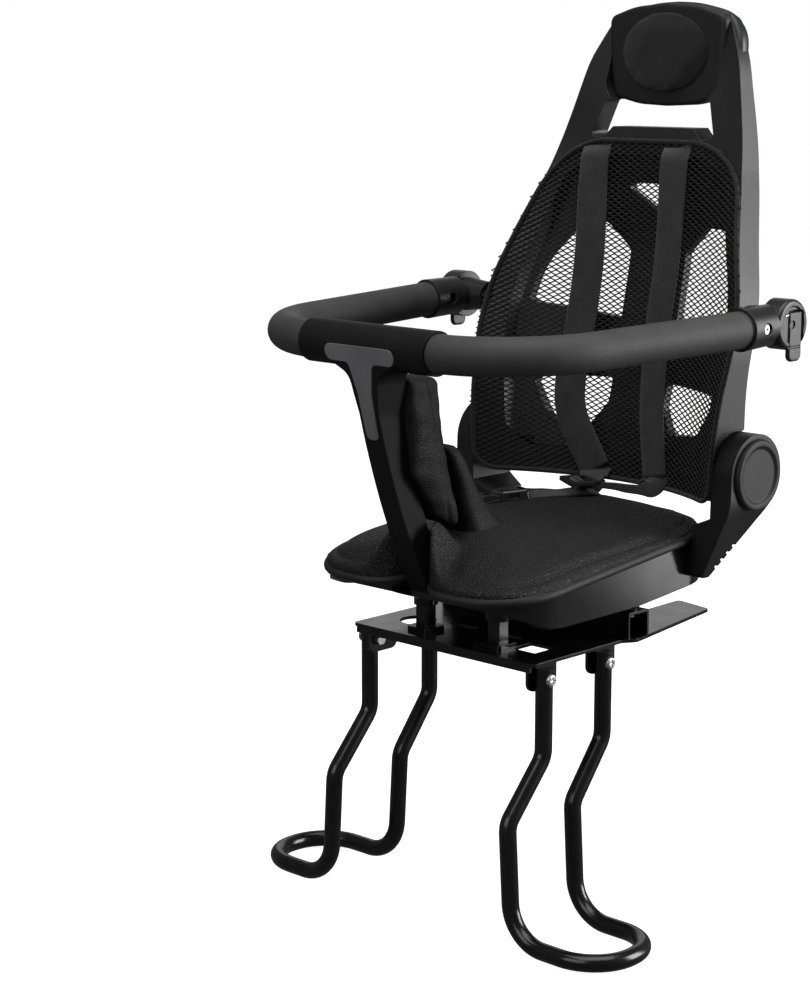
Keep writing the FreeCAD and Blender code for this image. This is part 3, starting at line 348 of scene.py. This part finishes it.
def coatedSteel(name, colour):
    mat, tree, shader = material(name, colour, 0.2, shine=0.4)
    shader.inputs["Coat Weight"].default_value = 0.1
    shader.inputs["Coat Roughness"].default_value = 0.06
    at = coords(tree)
    wear = noiseTex(tree, at, 60.0, 6.0)
    soft, edgeHighlight = edges(tree, 0.6 * mm)
    # colour: cloudy random tone, plus a painted highlight that lightens every edge
    tone = math2(tree, "ADD", math2(tree, "MULTIPLY", wear, 0.6), math2(tree, "MULTIPLY", edgeHighlight, 0.4))
    tree.links.new(ramp(tree, tone, *shades(colour, 0.8, 2.6), 0.25, 0.9), shader.inputs["Base Color"])
    tree.links.new(spread(tree, wear, 0.14, 0.32), shader.inputs["Roughness"])
    bump(tree, shader, noiseTex(tree, at, 420.0, 2.0), 0.05, 0.2 * mm, soft)
    return mat


def brightZinc(name, colour):
    mat, tree, shader = material(name, colour, 0.28, 1.0)
    at = coords(tree)
    scratch = noiseTex(tree, at, 900.0, 4.0)
    soft = edges(tree, 0.3 * mm)[0]
    tree.links.new(ramp(tree, scratch, *shades(colour, 0.75, 1.2)), shader.inputs["Base Color"])
    tree.links.new(spread(tree, scratch, 0.2, 0.42), shader.inputs["Roughness"])
    bump(tree, shader, scratch, 0.1, 0.05 * mm, soft)
    return mat


# pebbled leatherette: rounded cells of two sizes with shiny tops; their colour holds painted shade in the crevices and
# a painted highlight on the tops
def leatherette(name, colour, pebble, depth, shine):
    mat, tree, shader = material(name, colour, 0.5, shine=shine)
    at = coords(tree)
    cells = cellTex(tree, at, pebble, "DISTANCE_TO_EDGE")
    small = cellTex(tree, at, pebble * 1.9)
    # colour: random tone plus painted shade, darker in the crevices between pebbles and lighter on their tops as a
    # painted highlight
    tone = math2(tree, "ADD", math2(tree, "MULTIPLY", noiseTex(tree, at, 35.0, 5.0), 0.4), cells)
    tree.links.new(ramp(tree, tone, *shades(colour, 0.4, 1.9), 0.15, 0.7), shader.inputs["Base Color"])
    tree.links.new(spread(tree, cells, 0.7, 0.34, 0.0, 0.5), shader.inputs["Roughness"])
    bump(tree, shader, math2(tree, "ADD", cells, math2(tree, "MULTIPLY", small, 0.25)), depth, 1.7 * mm)
    return mat


# flat webbing: U runs across in metres, V along
def webbing(name, colour):
    mat, tree, shader = material(name, colour, 0.7, shine=0.35)
    shader.inputs["Sheen Weight"].default_value = 0.2
    shader.inputs["Sheen Roughness"].default_value = 0.5
    split = node(tree, "ShaderNodeSeparateXYZ")
    tree.links.new(coords(tree, "UV"), split.inputs[0])
    across, along = split.outputs[0], split.outputs[1]
    ribs = math2(tree, "SINE", math2(tree, "MULTIPLY", across, 2 * pi / (2.1 * mm)))
    slant = math2(tree, "ADD", along, math2(tree, "MULTIPLY", across, 0.5))
    twill = math2(tree, "SINE", math2(tree, "MULTIPLY", slant, 2 * pi / (1.3 * mm)))
    height = math2(tree, "ADD", math2(tree, "MULTIPLY", ribs, 0.5), math2(tree, "MULTIPLY", twill, 0.5))
    tone = noiseTex(tree, coords(tree), 70.0, 4.0)
    tree.links.new(ramp(tree, tone, *shades(colour, 0.75, 1.5)), shader.inputs["Base Color"])
    bump(tree, shader, height, 0.6, 0.25 * mm)
    return mat


# woven or knitted cloth, small loops in two directions
def knit(name, colour, pitch, rough=0.85, depth=0.6):
    mat, tree, shader = material(name, colour, rough, shine=0.3)
    shader.inputs["Sheen Weight"].default_value = 0.12
    at = coords(tree)
    split = node(tree, "ShaderNodeSeparateXYZ")
    tree.links.new(at, split.inputs[0])
    loops = [math2(tree, "SINE", math2(tree, "MULTIPLY", math2(tree, op, split.outputs[0], split.outputs[2]),
                                       2 * pi / pitch)) for op in ("ADD", "SUBTRACT")]
    tree.links.new(ramp(tree, noiseTex(tree, at, 50.0, 5.0), *shades(colour, 0.75, 1.35)), shader.inputs["Base Color"])
    bump(tree, shader, math2(tree, "MULTIPLY", *loops), depth, 0.3 * mm)
    return mat


def closedFoam(name, colour):
    mat, tree, shader = material(name, colour, 0.7, shine=0.4)
    at = coords(tree)
    pores = cellTex(tree, at, 1700.0)
    tree.links.new(ramp(tree, noiseTex(tree, at, 40.0, 5.0), *shades(colour, 0.85, 1.15)), shader.inputs["Base Color"])
    tree.links.new(spread(tree, pores, 0.55, 0.8), shader.inputs["Roughness"])
    bump(tree, shader, pores, 0.25, 0.15 * mm)
    return mat


def grey(value):
    return (value, value, value * 1.05)


finishes = {
    "frame": mouldedPlastic("framePlastic", grey(0.013), 0.38, shine=0.36),
    "panel": mouldedPlastic("panelPlastic", grey(0.010), 0.55, grain=1100, depth=0.25, shine=0.3),
    "cap": mouldedPlastic("capPlastic", grey(0.016), 0.5, shine=0.25),
    "hub": mouldedPlastic("hubPlastic", grey(0.014), 0.34, shine=0.42),
    "post": mouldedPlastic("postPlastic", grey(0.011), 0.5, shine=0.06),
    "arm": mouldedPlastic("armPlastic", grey(0.009), 0.42, shine=0.3),
    "insert": mouldedPlastic("insertPlastic", grey(0.14), 0.5, shine=0.3),
    "pan": mouldedPlastic("panPlastic", grey(0.005), 0.16, shine=0.4, depth=0.03),
    "clip": mouldedPlastic("clipPlastic", grey(0.012), 0.25, shine=0.6, edge=0.4 * mm),
    "steel": coatedSteel("coatedSteel", grey(0.005)),
    "zinc": brightZinc("brightZinc", (0.62, 0.62, 0.64)),
    "seat": leatherette("seatLeatherette", grey(0.004), 400, 0.8, 0.32),
    "roll": leatherette("rollLeatherette", grey(0.008), 1300, 0.2, 0.4),
    "padCover": leatherette("padLeatherette", grey(0.004), 620, 0.3, 0.2),
    "strap": webbing("strapWebbing", grey(0.013)),
    "net": knit("netYarn", grey(0.003), 0.9 * mm, 0.8, 0.2),
    "binding": knit("bindingTape", grey(0.008), 1.2 * mm),
    "knit": knit("headKnit", grey(0.007), 1.6 * mm, 0.9, 0.8),
    "foam": closedFoam("gripFoam", grey(0.034)),
    "thread": knit("stitchThread", grey(0.02), 0.6 * mm),
}

cadFinish = {
    "frame": ["back_frame", "bar_stub_left", "bar_stub_right"],
    "panel": ["head_panel"],
    "cap": ["hinge_cap_left", "hinge_cap_right"],
    "hub": ["bar_hub_left", "bar_hub_right", "release_lever_left", "release_lever_right"],
    "post": ["t_post"],
    "arm": ["hinge_arm_left", "hinge_arm_right"],
    "insert": ["t_insert"],
    "pan": ["seat_pan"],
    "clip": ["harness_buckle", "strap_slider"],
    "steel": ["mount_plate", "front_stand_left", "front_stand_right", "rear_channel", "footrest_left",
              "footrest_right", "bar_tube"],
    "zinc": ["seat_bolts", "footrest_screws", "footrest_nuts", "arm_screws", "hinge_pin_left", "hinge_pin_right",
             "hub_screws", "lever_pin_left", "lever_pin_right"],
    "foam": ["bar_foam_left", "bar_foam_right"],
    "seat": ["seat_cushion", "crotch_tongue"],
    "padCover": ["crotch_pad"],
    "strap": ["lap_strap", "shoulder_strap_left", "shoulder_strap_right"],
    "net": ["back_mesh"],
    "knit": ["head_pad"],
}
for finish, names in cadFinish.items():
    for n in names:
        nodes[n].data.materials.clear()
        nodes[n].data.materials.append(finishes[finish])
print("materials on", sum(len(v) for v in cadFinish.values()), "nodes")


def dress(obj, finish, body=None):
    obj.data.materials.clear()
    obj.data.materials.append(finishes[finish])
    if body:
        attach(obj, body)
    return obj


clothFrames = 20
clothLook = {"quality": 5, "mass": 0.3, "tension_stiffness": 20, "compression_stiffness": 20, "shear_stiffness": 8,
             "bending_stiffness": 1.0, "use_pressure": True}


# padded piece: the plain solid is remeshed a little smaller, blown up as cloth, capped and softened
def puffed(name, mesh, look, heldLoop=None):
    obj = linked(name, mesh)
    skin = obj.modifiers.new("skin", "REMESH")
    skin.mode, skin.voxel_size = "VOXEL", look["voxel"]
    bakeModifiers(obj)
    mesh = obj.data
    loose = np.ones(len(mesh.vertices))
    if heldLoop is not None:    # the sewn edge neither shrinks nor swells
        loose = ease(edgeDistance(readVerts(mesh)[:, :2], heldLoop), *look["held"])
    rest = readVerts(mesh) - readVerts(mesh, "normal") * (look["shrink"] * loose)[:, None]
    writeVerts(mesh, rest)
    cloth = obj.modifiers.new("cloth", "CLOTH")
    for key, value in clothLook.items():
        setattr(cloth.settings, key, value)
    cloth.settings.uniform_pressure_force = look["pressure"]
    cloth.settings.effector_weights.gravity = 0
    cloth.collision_settings.use_collision = False
    cloth.point_cache.frame_start, cloth.point_cache.frame_end = 1, clothFrames
    for f in range(1, clothFrames + 1):
        scene.frame_set(f)
    deps = bpy.context.evaluated_depsgraph_get()
    move = (readVerts(obj.evaluated_get(deps).data) - rest) * loose[:, None]
    length = np.linalg.norm(move, axis=1, keepdims=True)
    obj.modifiers.clear()
    scene.frame_set(1)
    writeVerts(mesh, rest + move * np.minimum(1, look["cap"] / np.maximum(length, 1e-9)))
    soften = obj.modifiers.new("soften", "SMOOTH")
    soften.factor, soften.iterations = 0.5, look.get("soften", 3)
    finer = obj.modifiers.new("finer", "SUBSURF")
    finer.levels = finer.render_levels = 1
    return smoothShaded(bakeModifiers(obj))


# seat cushion: pebbled top, a sewn line inside a rolled border
seatLook = {"voxel": 3.4 * mm, "pressure": 4.0, "cap": 5 * mm, "shrink": 1.6 * mm, "fill": 0.75,
            "seamIn": 8.0 * mm, "seamDepth": 1.1 * mm, "seamWidth": 1.5 * mm, "rollRadius": 3.4 * mm,
            "rollIn": 1.6 * mm, "stitch": 3.0 * mm, "pitch": 4.4 * mm, "thread": 0.45 * mm, "ripple": 0.5 * mm,
            "held": (2 * mm, 16 * mm), "rim": 60 * mm, "slope": 0.1}
seatLoop = roundedLoop(bothSides([(11.5, -60, 9), (12.5, -102, 30), (105.5, -102, 50), (104.2, 97, 8), (101, 100, 2),
                                  (100.5, 137, 35)]), 2 * mm)
seatCushion = puffed("seatCushion", nodes["seat_cushion"].data.copy(), seatLook, seatLoop)
at, normal = readVerts(seatCushion.data), readVerts(seatCushion.data, "normal")
fromEdge = edgeDistance(at[:, :2], seatLoop)
facingUp = ease(normal[:, 2], 0.1, 0.5)
groove = np.exp(-((fromEdge - seatLook["seamIn"]) / seatLook["seamWidth"]) ** 2) * seatLook["seamDepth"]
ripple = waves(at, 22 * mm) * seatLook["ripple"] * ease(fromEdge, 4 * mm, 14 * mm)
writeVerts(seatCushion.data, at + normal * ((ripple - groove) * facingUp)[:, None])
dress(seatCushion, "seat", "base")
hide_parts("seat_cushion")
seatTop = surfaceOf(seatCushion)


def seatRim(y):
    return seatLook["rim"] + seatLook["slope"] * y


def onCushion(x, y, lift=0.0):
    hit = seatTop.ray_cast(Vector((x, y, 0.3)), Vector((0, 0, -1)))
    return Vector((x, y, (hit[0].z if hit[0] is not None else seatRim(y)) + lift))


rollLoop = insetLoop(seatLoop, seatLook["rollIn"], 2.5 * mm)
rollPoints = [(x, y, seatRim(y) + 0.2 * mm) for x, y in rollLoop]
seatRoll = tubeAlong("seatRoll", rollPoints, seatLook["rollRadius"], 14, True)
dress(seatRoll, "roll", "base")
stitchLoop = insetLoop(seatLoop, seatLook["seamIn"], seatLook["pitch"])
seatStitches = stitchRow("seatStitches", [onCushion(x, y, 0.25 * mm) for x, y in stitchLoop], seatLook["stitch"],
                         seatLook["thread"])
dress(seatStitches, "thread", "base")
print("cushion", len(seatCushion.data.polygons), "faces,", len(stitchLoop), "stitches")

# crotch pad: a thick bolster sewn to flat sides, creased where it bends
padLook = {"voxel": 2.6 * mm, "pressure": 4.0, "cap": 5 * mm, "shrink": 1.4 * mm, "soften": 14, "fill": 0.7,
           "crease": 0.9 * mm, "seamDepth": 1.1 * mm, "seamWidth": 1.3 * mm,
           "seam": [(-95, 203), (-91, 190), (-86, 160), (-77, 125), (-66, 92)]}
crotchPad = puffed("crotchPad", nodes["crotch_pad"].data.copy(), padLook)
at, normal = readVerts(crotchPad.data), readVerts(crotchPad.data, "normal")
seamLine = smoothLine(np.array(padLook["seam"]) * mm, 60)
fromSeam = np.linalg.norm(at[:, None, 1:] - seamLine[None], axis=2).min(1)
seam = np.exp(-(fromSeam / padLook["seamWidth"]) ** 2) * padLook["seamDepth"] * ease(abs(normal[:, 0]), 0.4, 0.8)
crease = waves(at * (1, 0.7, 1.6), 17 * mm, 3.0) * padLook["crease"]
writeVerts(crotchPad.data, at + normal * (crease - seam)[:, None])
dress(crotchPad, "padCover", "bar")
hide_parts("crotch_pad")

# tongue: a soft wedge behind the pad that spreads into the cushion; height, front, rear, half width
tongueLook = {"voxel": 2.0 * mm, "pressure": 3.0, "cap": 2 * mm, "shrink": 0.5 * mm, "soften": 8, "fill": 0.5,
              "crease": 0.6 * mm, "sides": 40, "square": 0.6,
              "slices": [(78, -46, 2, 24), (84, -47, -3, 22), (90, -48, -9, 19), (98, -50, -18, 17),
                         (110, -53, -27, 15.5), (124, -56.5, -35.5, 14.5), (136, -60, -42, 13.5),
                         (144, -61.5, -47, 11.5), (149, -60, -51, 7.5)]}


def tongueMesh():
    verts = []
    sides, square = tongueLook["sides"], tongueLook["square"]
    for z, front, rear, half in tongueLook["slices"]:
        for k in range(sides):
            c, s = cos(2 * pi * k / sides), sin(2 * pi * k / sides)
            across = (abs(c) ** square) * (1 if c > 0 else -1)
            along = (abs(s) ** square) * (1 if s > 0 else -1)
            verts.append((across * half * mm, ((front + rear) / 2 + along * (rear - front) / 2) * mm, z * mm))
    mesh = bpy.data.meshes.new("tongue")
    mesh.from_pydata(verts, [], ringFaces(len(tongueLook["slices"]), sides))
    return mesh


crotchTongue = puffed("crotchTongue", tongueMesh(), tongueLook)
at, normal = readVerts(crotchTongue.data), readVerts(crotchTongue.data, "normal")
writeVerts(crotchTongue.data, at + normal * (waves(at, 15 * mm, 7.0) * tongueLook["crease"])[:, None])
dress(crotchTongue, "padCover", "base")
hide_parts("crotch_tongue")

# head panel with arched edges, and the crown of the frame round it; X and Z of their right halves
panelLook = {"front": 192 * mm, "back": 205 * mm, "edge": 3 * mm, "middle": 423.5 * mm, "reach": 50 * mm,
             "outline": [(0, 383.4, 0), (26, 384.6, 60), (50, 390, 9), (55.5, 420, 200), (55.8, 451.5, 7),
                         (32, 459, 70), (0, 461.6, 0)]}
crownLook = {"front": 192.5 * mm, "leanFrom": 413 * mm, "lean": 0.22, "round": 3 * mm,
             "back": (203 * mm, 211 * mm), "backRise": (406 * mm, 444 * mm),
             "wall": (6 * mm, 14 * mm), "wallRise": (430 * mm, 456 * mm),
             "line": [(69.8, 404), (69.6, 416), (67.4, 431), (63.4, 441), (57.4, 449), (50, 454), (40, 457.3),
                      (20, 461.3), (0, 462.6)]}


def headPanel():
    right = panelLook["outline"]
    loop = roundedLoop(right + [(-u, v, r) for u, v, r in reversed(right[1:-1])], 2 * mm)
    middle = np.array([0, panelLook["middle"]])
    front, edge = panelLook["front"], panelLook["edge"]
    rings = [(share, front) for share in (0.02, 0.35, 0.7, 0.9)]
    for a in (0, 0.25, 0.5, 0.75, 1):    # rounded front edge
        rings.append((1 - edge * (1 - sin(a * pi / 2)) / panelLook["reach"], front + edge * (1 - cos(a * pi / 2))))
    rings.append((1, panelLook["back"]))
    verts = [(x, y, z) for share, y in rings for x, z in middle + (loop - middle) * share]
    return meshObject("headPanel", verts, ringFaces(len(rings), len(loop)))


def between(pair, t):
    return pair[0] + (pair[1] - pair[0]) * t


def backCrown():
    half = smoothLine(np.array(crownLook["line"]) * mm, 60)
    line = np.concatenate([half, (half * (-1, 1))[::-1][1:]])
    way = np.gradient(line, axis=0)
    way /= np.linalg.norm(way, axis=1, keepdims=True)
    inward = np.stack([-way[:, 1], way[:, 0]], axis=1)
    r = crownLook["round"]
    verts = []
    for (x, z), (nx, nz) in zip(line, inward):
        front = crownLook["front"] + crownLook["lean"] * max(0, z - crownLook["leanFrom"])
        back = between(crownLook["back"], ease(z, *crownLook["backRise"]))
        wall = between(crownLook["wall"], ease(z, *crownLook["wallRise"]))
        profile = ((r, front), (0.3 * r, front + 0.3 * r), (0, front + r), (0, back - r),
                   (0.3 * r, back - 0.3 * r), (r, back), (wall, back), (wall, front))
        verts += [(x + nx * inset, y, z + nz * inset) for inset, y in profile]
    return meshObject("backCrown", verts, ringFaces(len(line), 8))


panel = headPanel()
dress(panel, "panel", "backrest")
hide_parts("head_panel")
dress(backCrown(), "frame", "backrest")

headLook = {"voxel": 2.4 * mm, "pressure": 4.0, "cap": 2.5 * mm, "shrink": 0.7 * mm, "fill": 0.6}
headPad = puffed("headPad", nodes["head_pad"].data.copy(), headLook)
dress(headPad, "knit", "backrest")
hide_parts("head_pad")
print("pads done")


# the front of the plain mesh sheet, read by rays and fitted, so the net lies where it lies
backSpan = {"half": 120 * mm, "middle": 225 * mm, "reach": 130 * mm, "step": 4 * mm,
            "side": 122 * mm, "low": 98 * mm, "high": 356 * mm}


def backTerms(x, z):
    u, v = np.asarray(x) / backSpan["half"], (np.asarray(z) - backSpan["middle"]) / backSpan["reach"]
    return np.stack([u ** (2 * i) * v ** j for i in range(3) for j in range(8)], axis=-1)


def fittedBack():
    tree = surfaceOf(nodes["back_mesh"])
    samples = []
    for x in np.arange(-backSpan["side"], backSpan["side"] + 0.1 * mm, backSpan["step"]):
        for z in np.arange(backSpan["low"], backSpan["high"], backSpan["step"]):
            hit = tree.ray_cast(Vector((x, 0, z)), Vector((0, 1, 0)))
            if hit[0] is not None and hit[1].y < -0.3:
                samples.append((x, z, hit[0].y))
    s = np.array(samples)
    terms = backTerms(s[:, 0], s[:, 1])
    fit = np.linalg.lstsq(terms, s[:, 2], rcond=None)[0]
    print("back fit error mm", round(1000 * float(np.abs(terms @ fit - s[:, 2]).max()), 2))
    return fit


backFit = fittedBack()


def backFront(x, z):
    return float(backTerms(x, z) @ backFit)


# net of diamonds stretched over the back, bound round its edge
netLook = {"cut": (0.25, 0.28), "cutArea": 0.055, "pitchX": 7.6 * mm, "pitchZ": 4.3 * mm, "strand": 1.7 * mm,
           "binding": 1.9 * mm, "sink": 1.0 * mm, "bindingSink": 0.8 * mm, "foot": 96 * mm, "height": 265 * mm,
           "columns": 36}
backLoop = roundedLoop(bothSides([(115.5, 97, 16), (125, 232, 160), (91.5, 334, 58), (59, 357, 60)]), 3 * mm)


def netSheet():
    px, pz = netLook["pitchX"] / 2, netLook["pitchZ"] / 2
    verts, index, faces = [], {}, []

    def vert(i, k):
        if (i, k) not in index:
            x, z = i * px, netLook["foot"] + k * pz
            index[(i, k)] = len(verts)
            verts.append((x, backFront(x, z) + netLook["sink"], z))
        return index[(i, k)]
    for k in range(1, int(netLook["height"] / pz)):
        for i in range(-netLook["columns"], netLook["columns"] + 1):
            if (i + k) % 2 == 0 and insideLoop(backLoop, i * px, netLook["foot"] + k * pz):
                faces.append((vert(i - 1, k), vert(i, k - 1), vert(i + 1, k), vert(i, k + 1)))
    obj = meshObject("backNet", verts, faces)
    wire = obj.modifiers.new("strands", "WIREFRAME")
    wire.thickness = netLook["strand"]
    wire.use_even_offset = False
    wire.use_boundary = True
    wire.use_replace = True
    return smoothShaded(bakeModifiers(obj))


backNet = netSheet()
dress(backNet, "net", "backrest")
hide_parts("back_mesh")
bindingPoints = [(x, backFront(x, z) + netLook["bindingSink"], z) for x, z in backLoop]
backBinding = tubeAlong("backBinding", bindingPoints, netLook["binding"], 10, True)
dress(backBinding, "binding", "backrest")
print("net", len(backNet.data.polygons))


# a flat strap along points with a width direction at each; U and V are in metres
def strapAlong(name, points, widths, width, thick=1.7 * mm):
    count = len(points)
    pts = [Vector(p) for p in points]
    marks = (-1, -0.94, -0.5, 0, 0.5, 0.94, 1)
    profile = [(s, 1) for s in marks] + [(s, -1) for s in reversed(marks)]
    verts, uvs = [], []
    run = 0.0
    for i, p in enumerate(pts):
        way = (pts[min(count - 1, i + 1)] - pts[max(0, i - 1)]).normalized()
        side = Vector(widths[i]).normalized()
        side = (side - way * side.dot(way)).normalized()
        out = side.cross(way).normalized()
        if i:
            run += (p - pts[i - 1]).length
        half = (width[i] if hasattr(width, "__len__") else width) / 2
        for s, t in profile:
            verts.append(p + side * (s * half) + out * (t * thick * (0.35 if abs(s) == 1 else 0.5)))
            uvs.append((s * half, run))
    obj = meshObject(name, verts, ringFaces(count, len(profile)))
    layer = obj.data.uv_layers.new(name="across")
    for loop in obj.data.loops:
        layer.data[loop.index].uv = uvs[loop.vertex_index]
    return obj


# shoulder straps lie on the net, tops tucked in; their tails, given by both edges, run on to the seat
strapLook = {"width": 26 * mm, "lift": 1.6 * mm, "tuck": 2.6 * mm, "tuckRise": (345 * mm, 351.5 * mm),
             "left": [(28.6, 351.5), (28.5, 345), (31.5, 276), (29, 219), (29.5, 177), (31.5, 149), (40.5, 104)],
             "right": [(-49.3, 351.5), (-49, 345), (-43.5, 271), (-45.5, 212), (-49, 170), (-44, 141), (-20, 102)],
             "leftTail": [(29.5, 134.5, 101, 53.5, 134.5, 100), (31, 133.5, 99, 50, 133.5, 96),
                          (31, 133, 97.8, 44.5, 132.5, 92.8), (30, 132.5, 97.2, 36, 132, 90.6),
                          (26, 132, 97, 27, 131, 89.9), (18, 130.5, 96.8, 18, 130, 90),
                          (8, 129, 96.8, 8, 128.5, 91), (-3, 128, 96, -3, 127.5, 91)],
             "rightTail": [(-27, 132, 96, -4.5, 132, 94), (-22, 131, 91, -1.5, 131, 89), (-19, 131, 88, 1, 131, 86)]}


def shoulderStrap(name, line, source):
    flat = smoothLine(np.array(line) * mm, 60)
    points = [(x, backFront(x, z) - strapLook["lift"] + strapLook["tuck"] * ease(z, *strapLook["tuckRise"]), z)
              for x, z in flat]
    d = 5 * mm
    widths = [(2 * d, backFront(x + d, z) - backFront(x - d, z), 0) for x, z in flat]
    obj = strapAlong(name, points, widths, strapLook["width"])
    dress(obj, "strap", "backrest")
    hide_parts(source)
    return points[-1], widths[-1]


def strapTail(name, start, startWidth, rows):
    side = Vector(startWidth).normalized() * (strapLook["width"] / 2)
    first = tuple(Vector(start) - side) + tuple(Vector(start) + side)
    rows = smoothLine([first] + [tuple(np.array(r) * mm) for r in rows], 48)
    points, across = (rows[:, :3] + rows[:, 3:]) / 2, rows[:, 3:] - rows[:, :3]
    obj = strapAlong(name, points, across, np.linalg.norm(across, axis=1))
    dress(obj, "strap")
    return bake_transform(obj)


leftEnd, leftWidth = shoulderStrap("shoulderStrapLeft", strapLook["left"], "shoulder_strap_left")
rightEnd, rightWidth = shoulderStrap("shoulderStrapRight", strapLook["right"], "shoulder_strap_right")
strapTail("strapTailLeft", leftEnd, leftWidth, strapLook["leftTail"])
strapTail("strapTailRight", rightEnd, rightWidth, strapLook["rightTail"])

# lap strap slants over the cushion and ends in a loose roll
lapLook = {"start": (-62, 48), "end": (-8, 128), "lift": 1.0 * mm, "ripple": 1.2 * mm, "ripples": 9, "rollAt": 0.84,
           "rollRadius": 4.6 * mm, "rollLift": 6.9 * mm, "rollTurns": 1.6, "rollShrink": 0.45}
lapA, lapB = np.array(lapLook["start"]) * mm, np.array(lapLook["end"]) * mm
lapWay = (lapB - lapA) / np.linalg.norm(lapB - lapA)
lapSide = Vector((-lapWay[1], lapWay[0], 0))
lapLine = [onCushion(*(lapA + (lapB - lapA) * s),
                     lapLook["lift"] + lapLook["ripple"] * max(0, sin(lapLook["ripples"] * s)) ** 2)
           for s in np.linspace(0, 1, 70)]
lapStrap = strapAlong("lapStrap", lapLine, [lapSide] * 70, strapLook["width"])
dress(lapStrap, "strap", "base")
rollMiddle = onCushion(*(lapA + (lapB - lapA) * lapLook["rollAt"]), lapLook["rollLift"])
turns = [(2 * pi * lapLook["rollTurns"] * s, lapLook["rollRadius"] * (1 - lapLook["rollShrink"] * s))
         for s in np.linspace(0, 1, 50)]
lapRoll = strapAlong("lapRoll", [rollMiddle + Vector((*(lapWay * cos(a) * r), sin(a) * r)) for a, r in turns],
                     [lapSide] * 50, strapLook["width"])
dress(lapRoll, "strap", "base")
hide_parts("lap_strap")
print("straps done")

# plain studio: pale floor, white backdrop, soft boxes above and to the right
floorLook = {"half": 6, "height": -202.5 * mm, "glow": 0.93}
floorMesh = bpy.data.meshes.new("floor")
corners = [(x * floorLook["half"], y * floorLook["half"], floorLook["height"])
           for x, y in ((-1, -1), (1, -1), (1, 1), (-1, 1))]
floorMesh.from_pydata(corners, [], [(0, 1, 2, 3)])
floor = linked("floor", floorMesh)
floorMat, tree, shader = material("paleFloor", (0.5, 0.5, 0.5), 0.7, shine=0.1)
shader.inputs["Emission Color"].default_value = (1, 1, 1, 1)
shader.inputs["Emission Strength"].default_value = floorLook["glow"]
floorMat.cycles.emission_sampling = "NONE"
floor.data.materials.append(floorMat)
floor.visible_glossy = floor.visible_diffuse = False    # keeps its glow off the seat

studioLook = {"backdrop": 1.0, "fill": 0.12, "top": 50, "right": 62, "back": 4, "front": 22, "card": 0.35}
world = bpy.data.worlds.new("studio")
scene.world = world
world.use_nodes = True
tree = world.node_tree
backdrop = tree.nodes["Background"]
backdrop.inputs["Color"].default_value = (1, 1, 1, 1)
rays = node(tree, "ShaderNodeLightPath").outputs["Is Camera Ray"]
tree.links.new(spread(tree, rays, studioLook["fill"], studioLook["backdrop"]), backdrop.inputs["Strength"])
scene.view_settings.view_transform = "Standard"


def softLight(name, at, aim, size, power, gloss=1.0):
    lamp = bpy.data.lights.new(name, "AREA")
    lamp.shape = "RECTANGLE"
    lamp.size, lamp.size_y = size
    lamp.energy = power
    lamp.specular_factor = gloss
    obj = bpy.data.objects.new(name, lamp)
    scene.collection.objects.link(obj)
    obj.location = at
    obj.rotation_mode = "QUATERNION"
    obj.rotation_quaternion = (Vector(aim) - Vector(at)).to_track_quat("-Z", "Y")
    obj.visible_camera = False
    return obj


softLight("topBox", (0.3, -0.2, 2.2), (0, 0, 0.1), (2.2, 2.2), studioLook["top"])
softLight("rightBox", (1.7, 1.5, 0.6), (0.1, 0.1, 0.2), (1.0, 1.5), studioLook["right"])
softLight("backBox", (-1.7, 1.9, 0.9), (0, 0, 0.1), (1.8, 1.0), studioLook["back"])
lowCard = softLight("lowCard", (0.65, 0.855, -0.1), (0.1, 0.1, 0.05), (0.13, 0.2), studioLook["card"])
lowCard.visible_diffuse = False    # seen in the pan's gloss alone
softLight("frontBox", (0.2, -2.4, 1.3), (0, 0, 0.2), (2.0, 1.4), studioLook["front"], 0.1)

camLook = {"at": (1.11696, -1.25416, 0.4252), "azimuth": 43.98, "elevation": 10.97, "sensor": 36, "focal": 2.317}
camData = bpy.data.cameras.new("camera")
camera = bpy.data.objects.new("camera", camData)
scene.collection.objects.link(camera)
camData.sensor_width = camLook["sensor"]
camData.lens = camLook["sensor"] * camLook["focal"]
camData.clip_start, camData.clip_end = 0.05, 50
azimuth, elevation = radians(camLook["azimuth"]), radians(camLook["elevation"])
forward = Vector((-sin(azimuth) * cos(elevation), cos(azimuth) * cos(elevation), -sin(elevation)))
camera.location = camLook["at"]
camera.rotation_mode = "QUATERNION"
camera.rotation_quaternion = forward.to_track_quat("-Z", "Y")
scene.camera = camera
print("studio done")
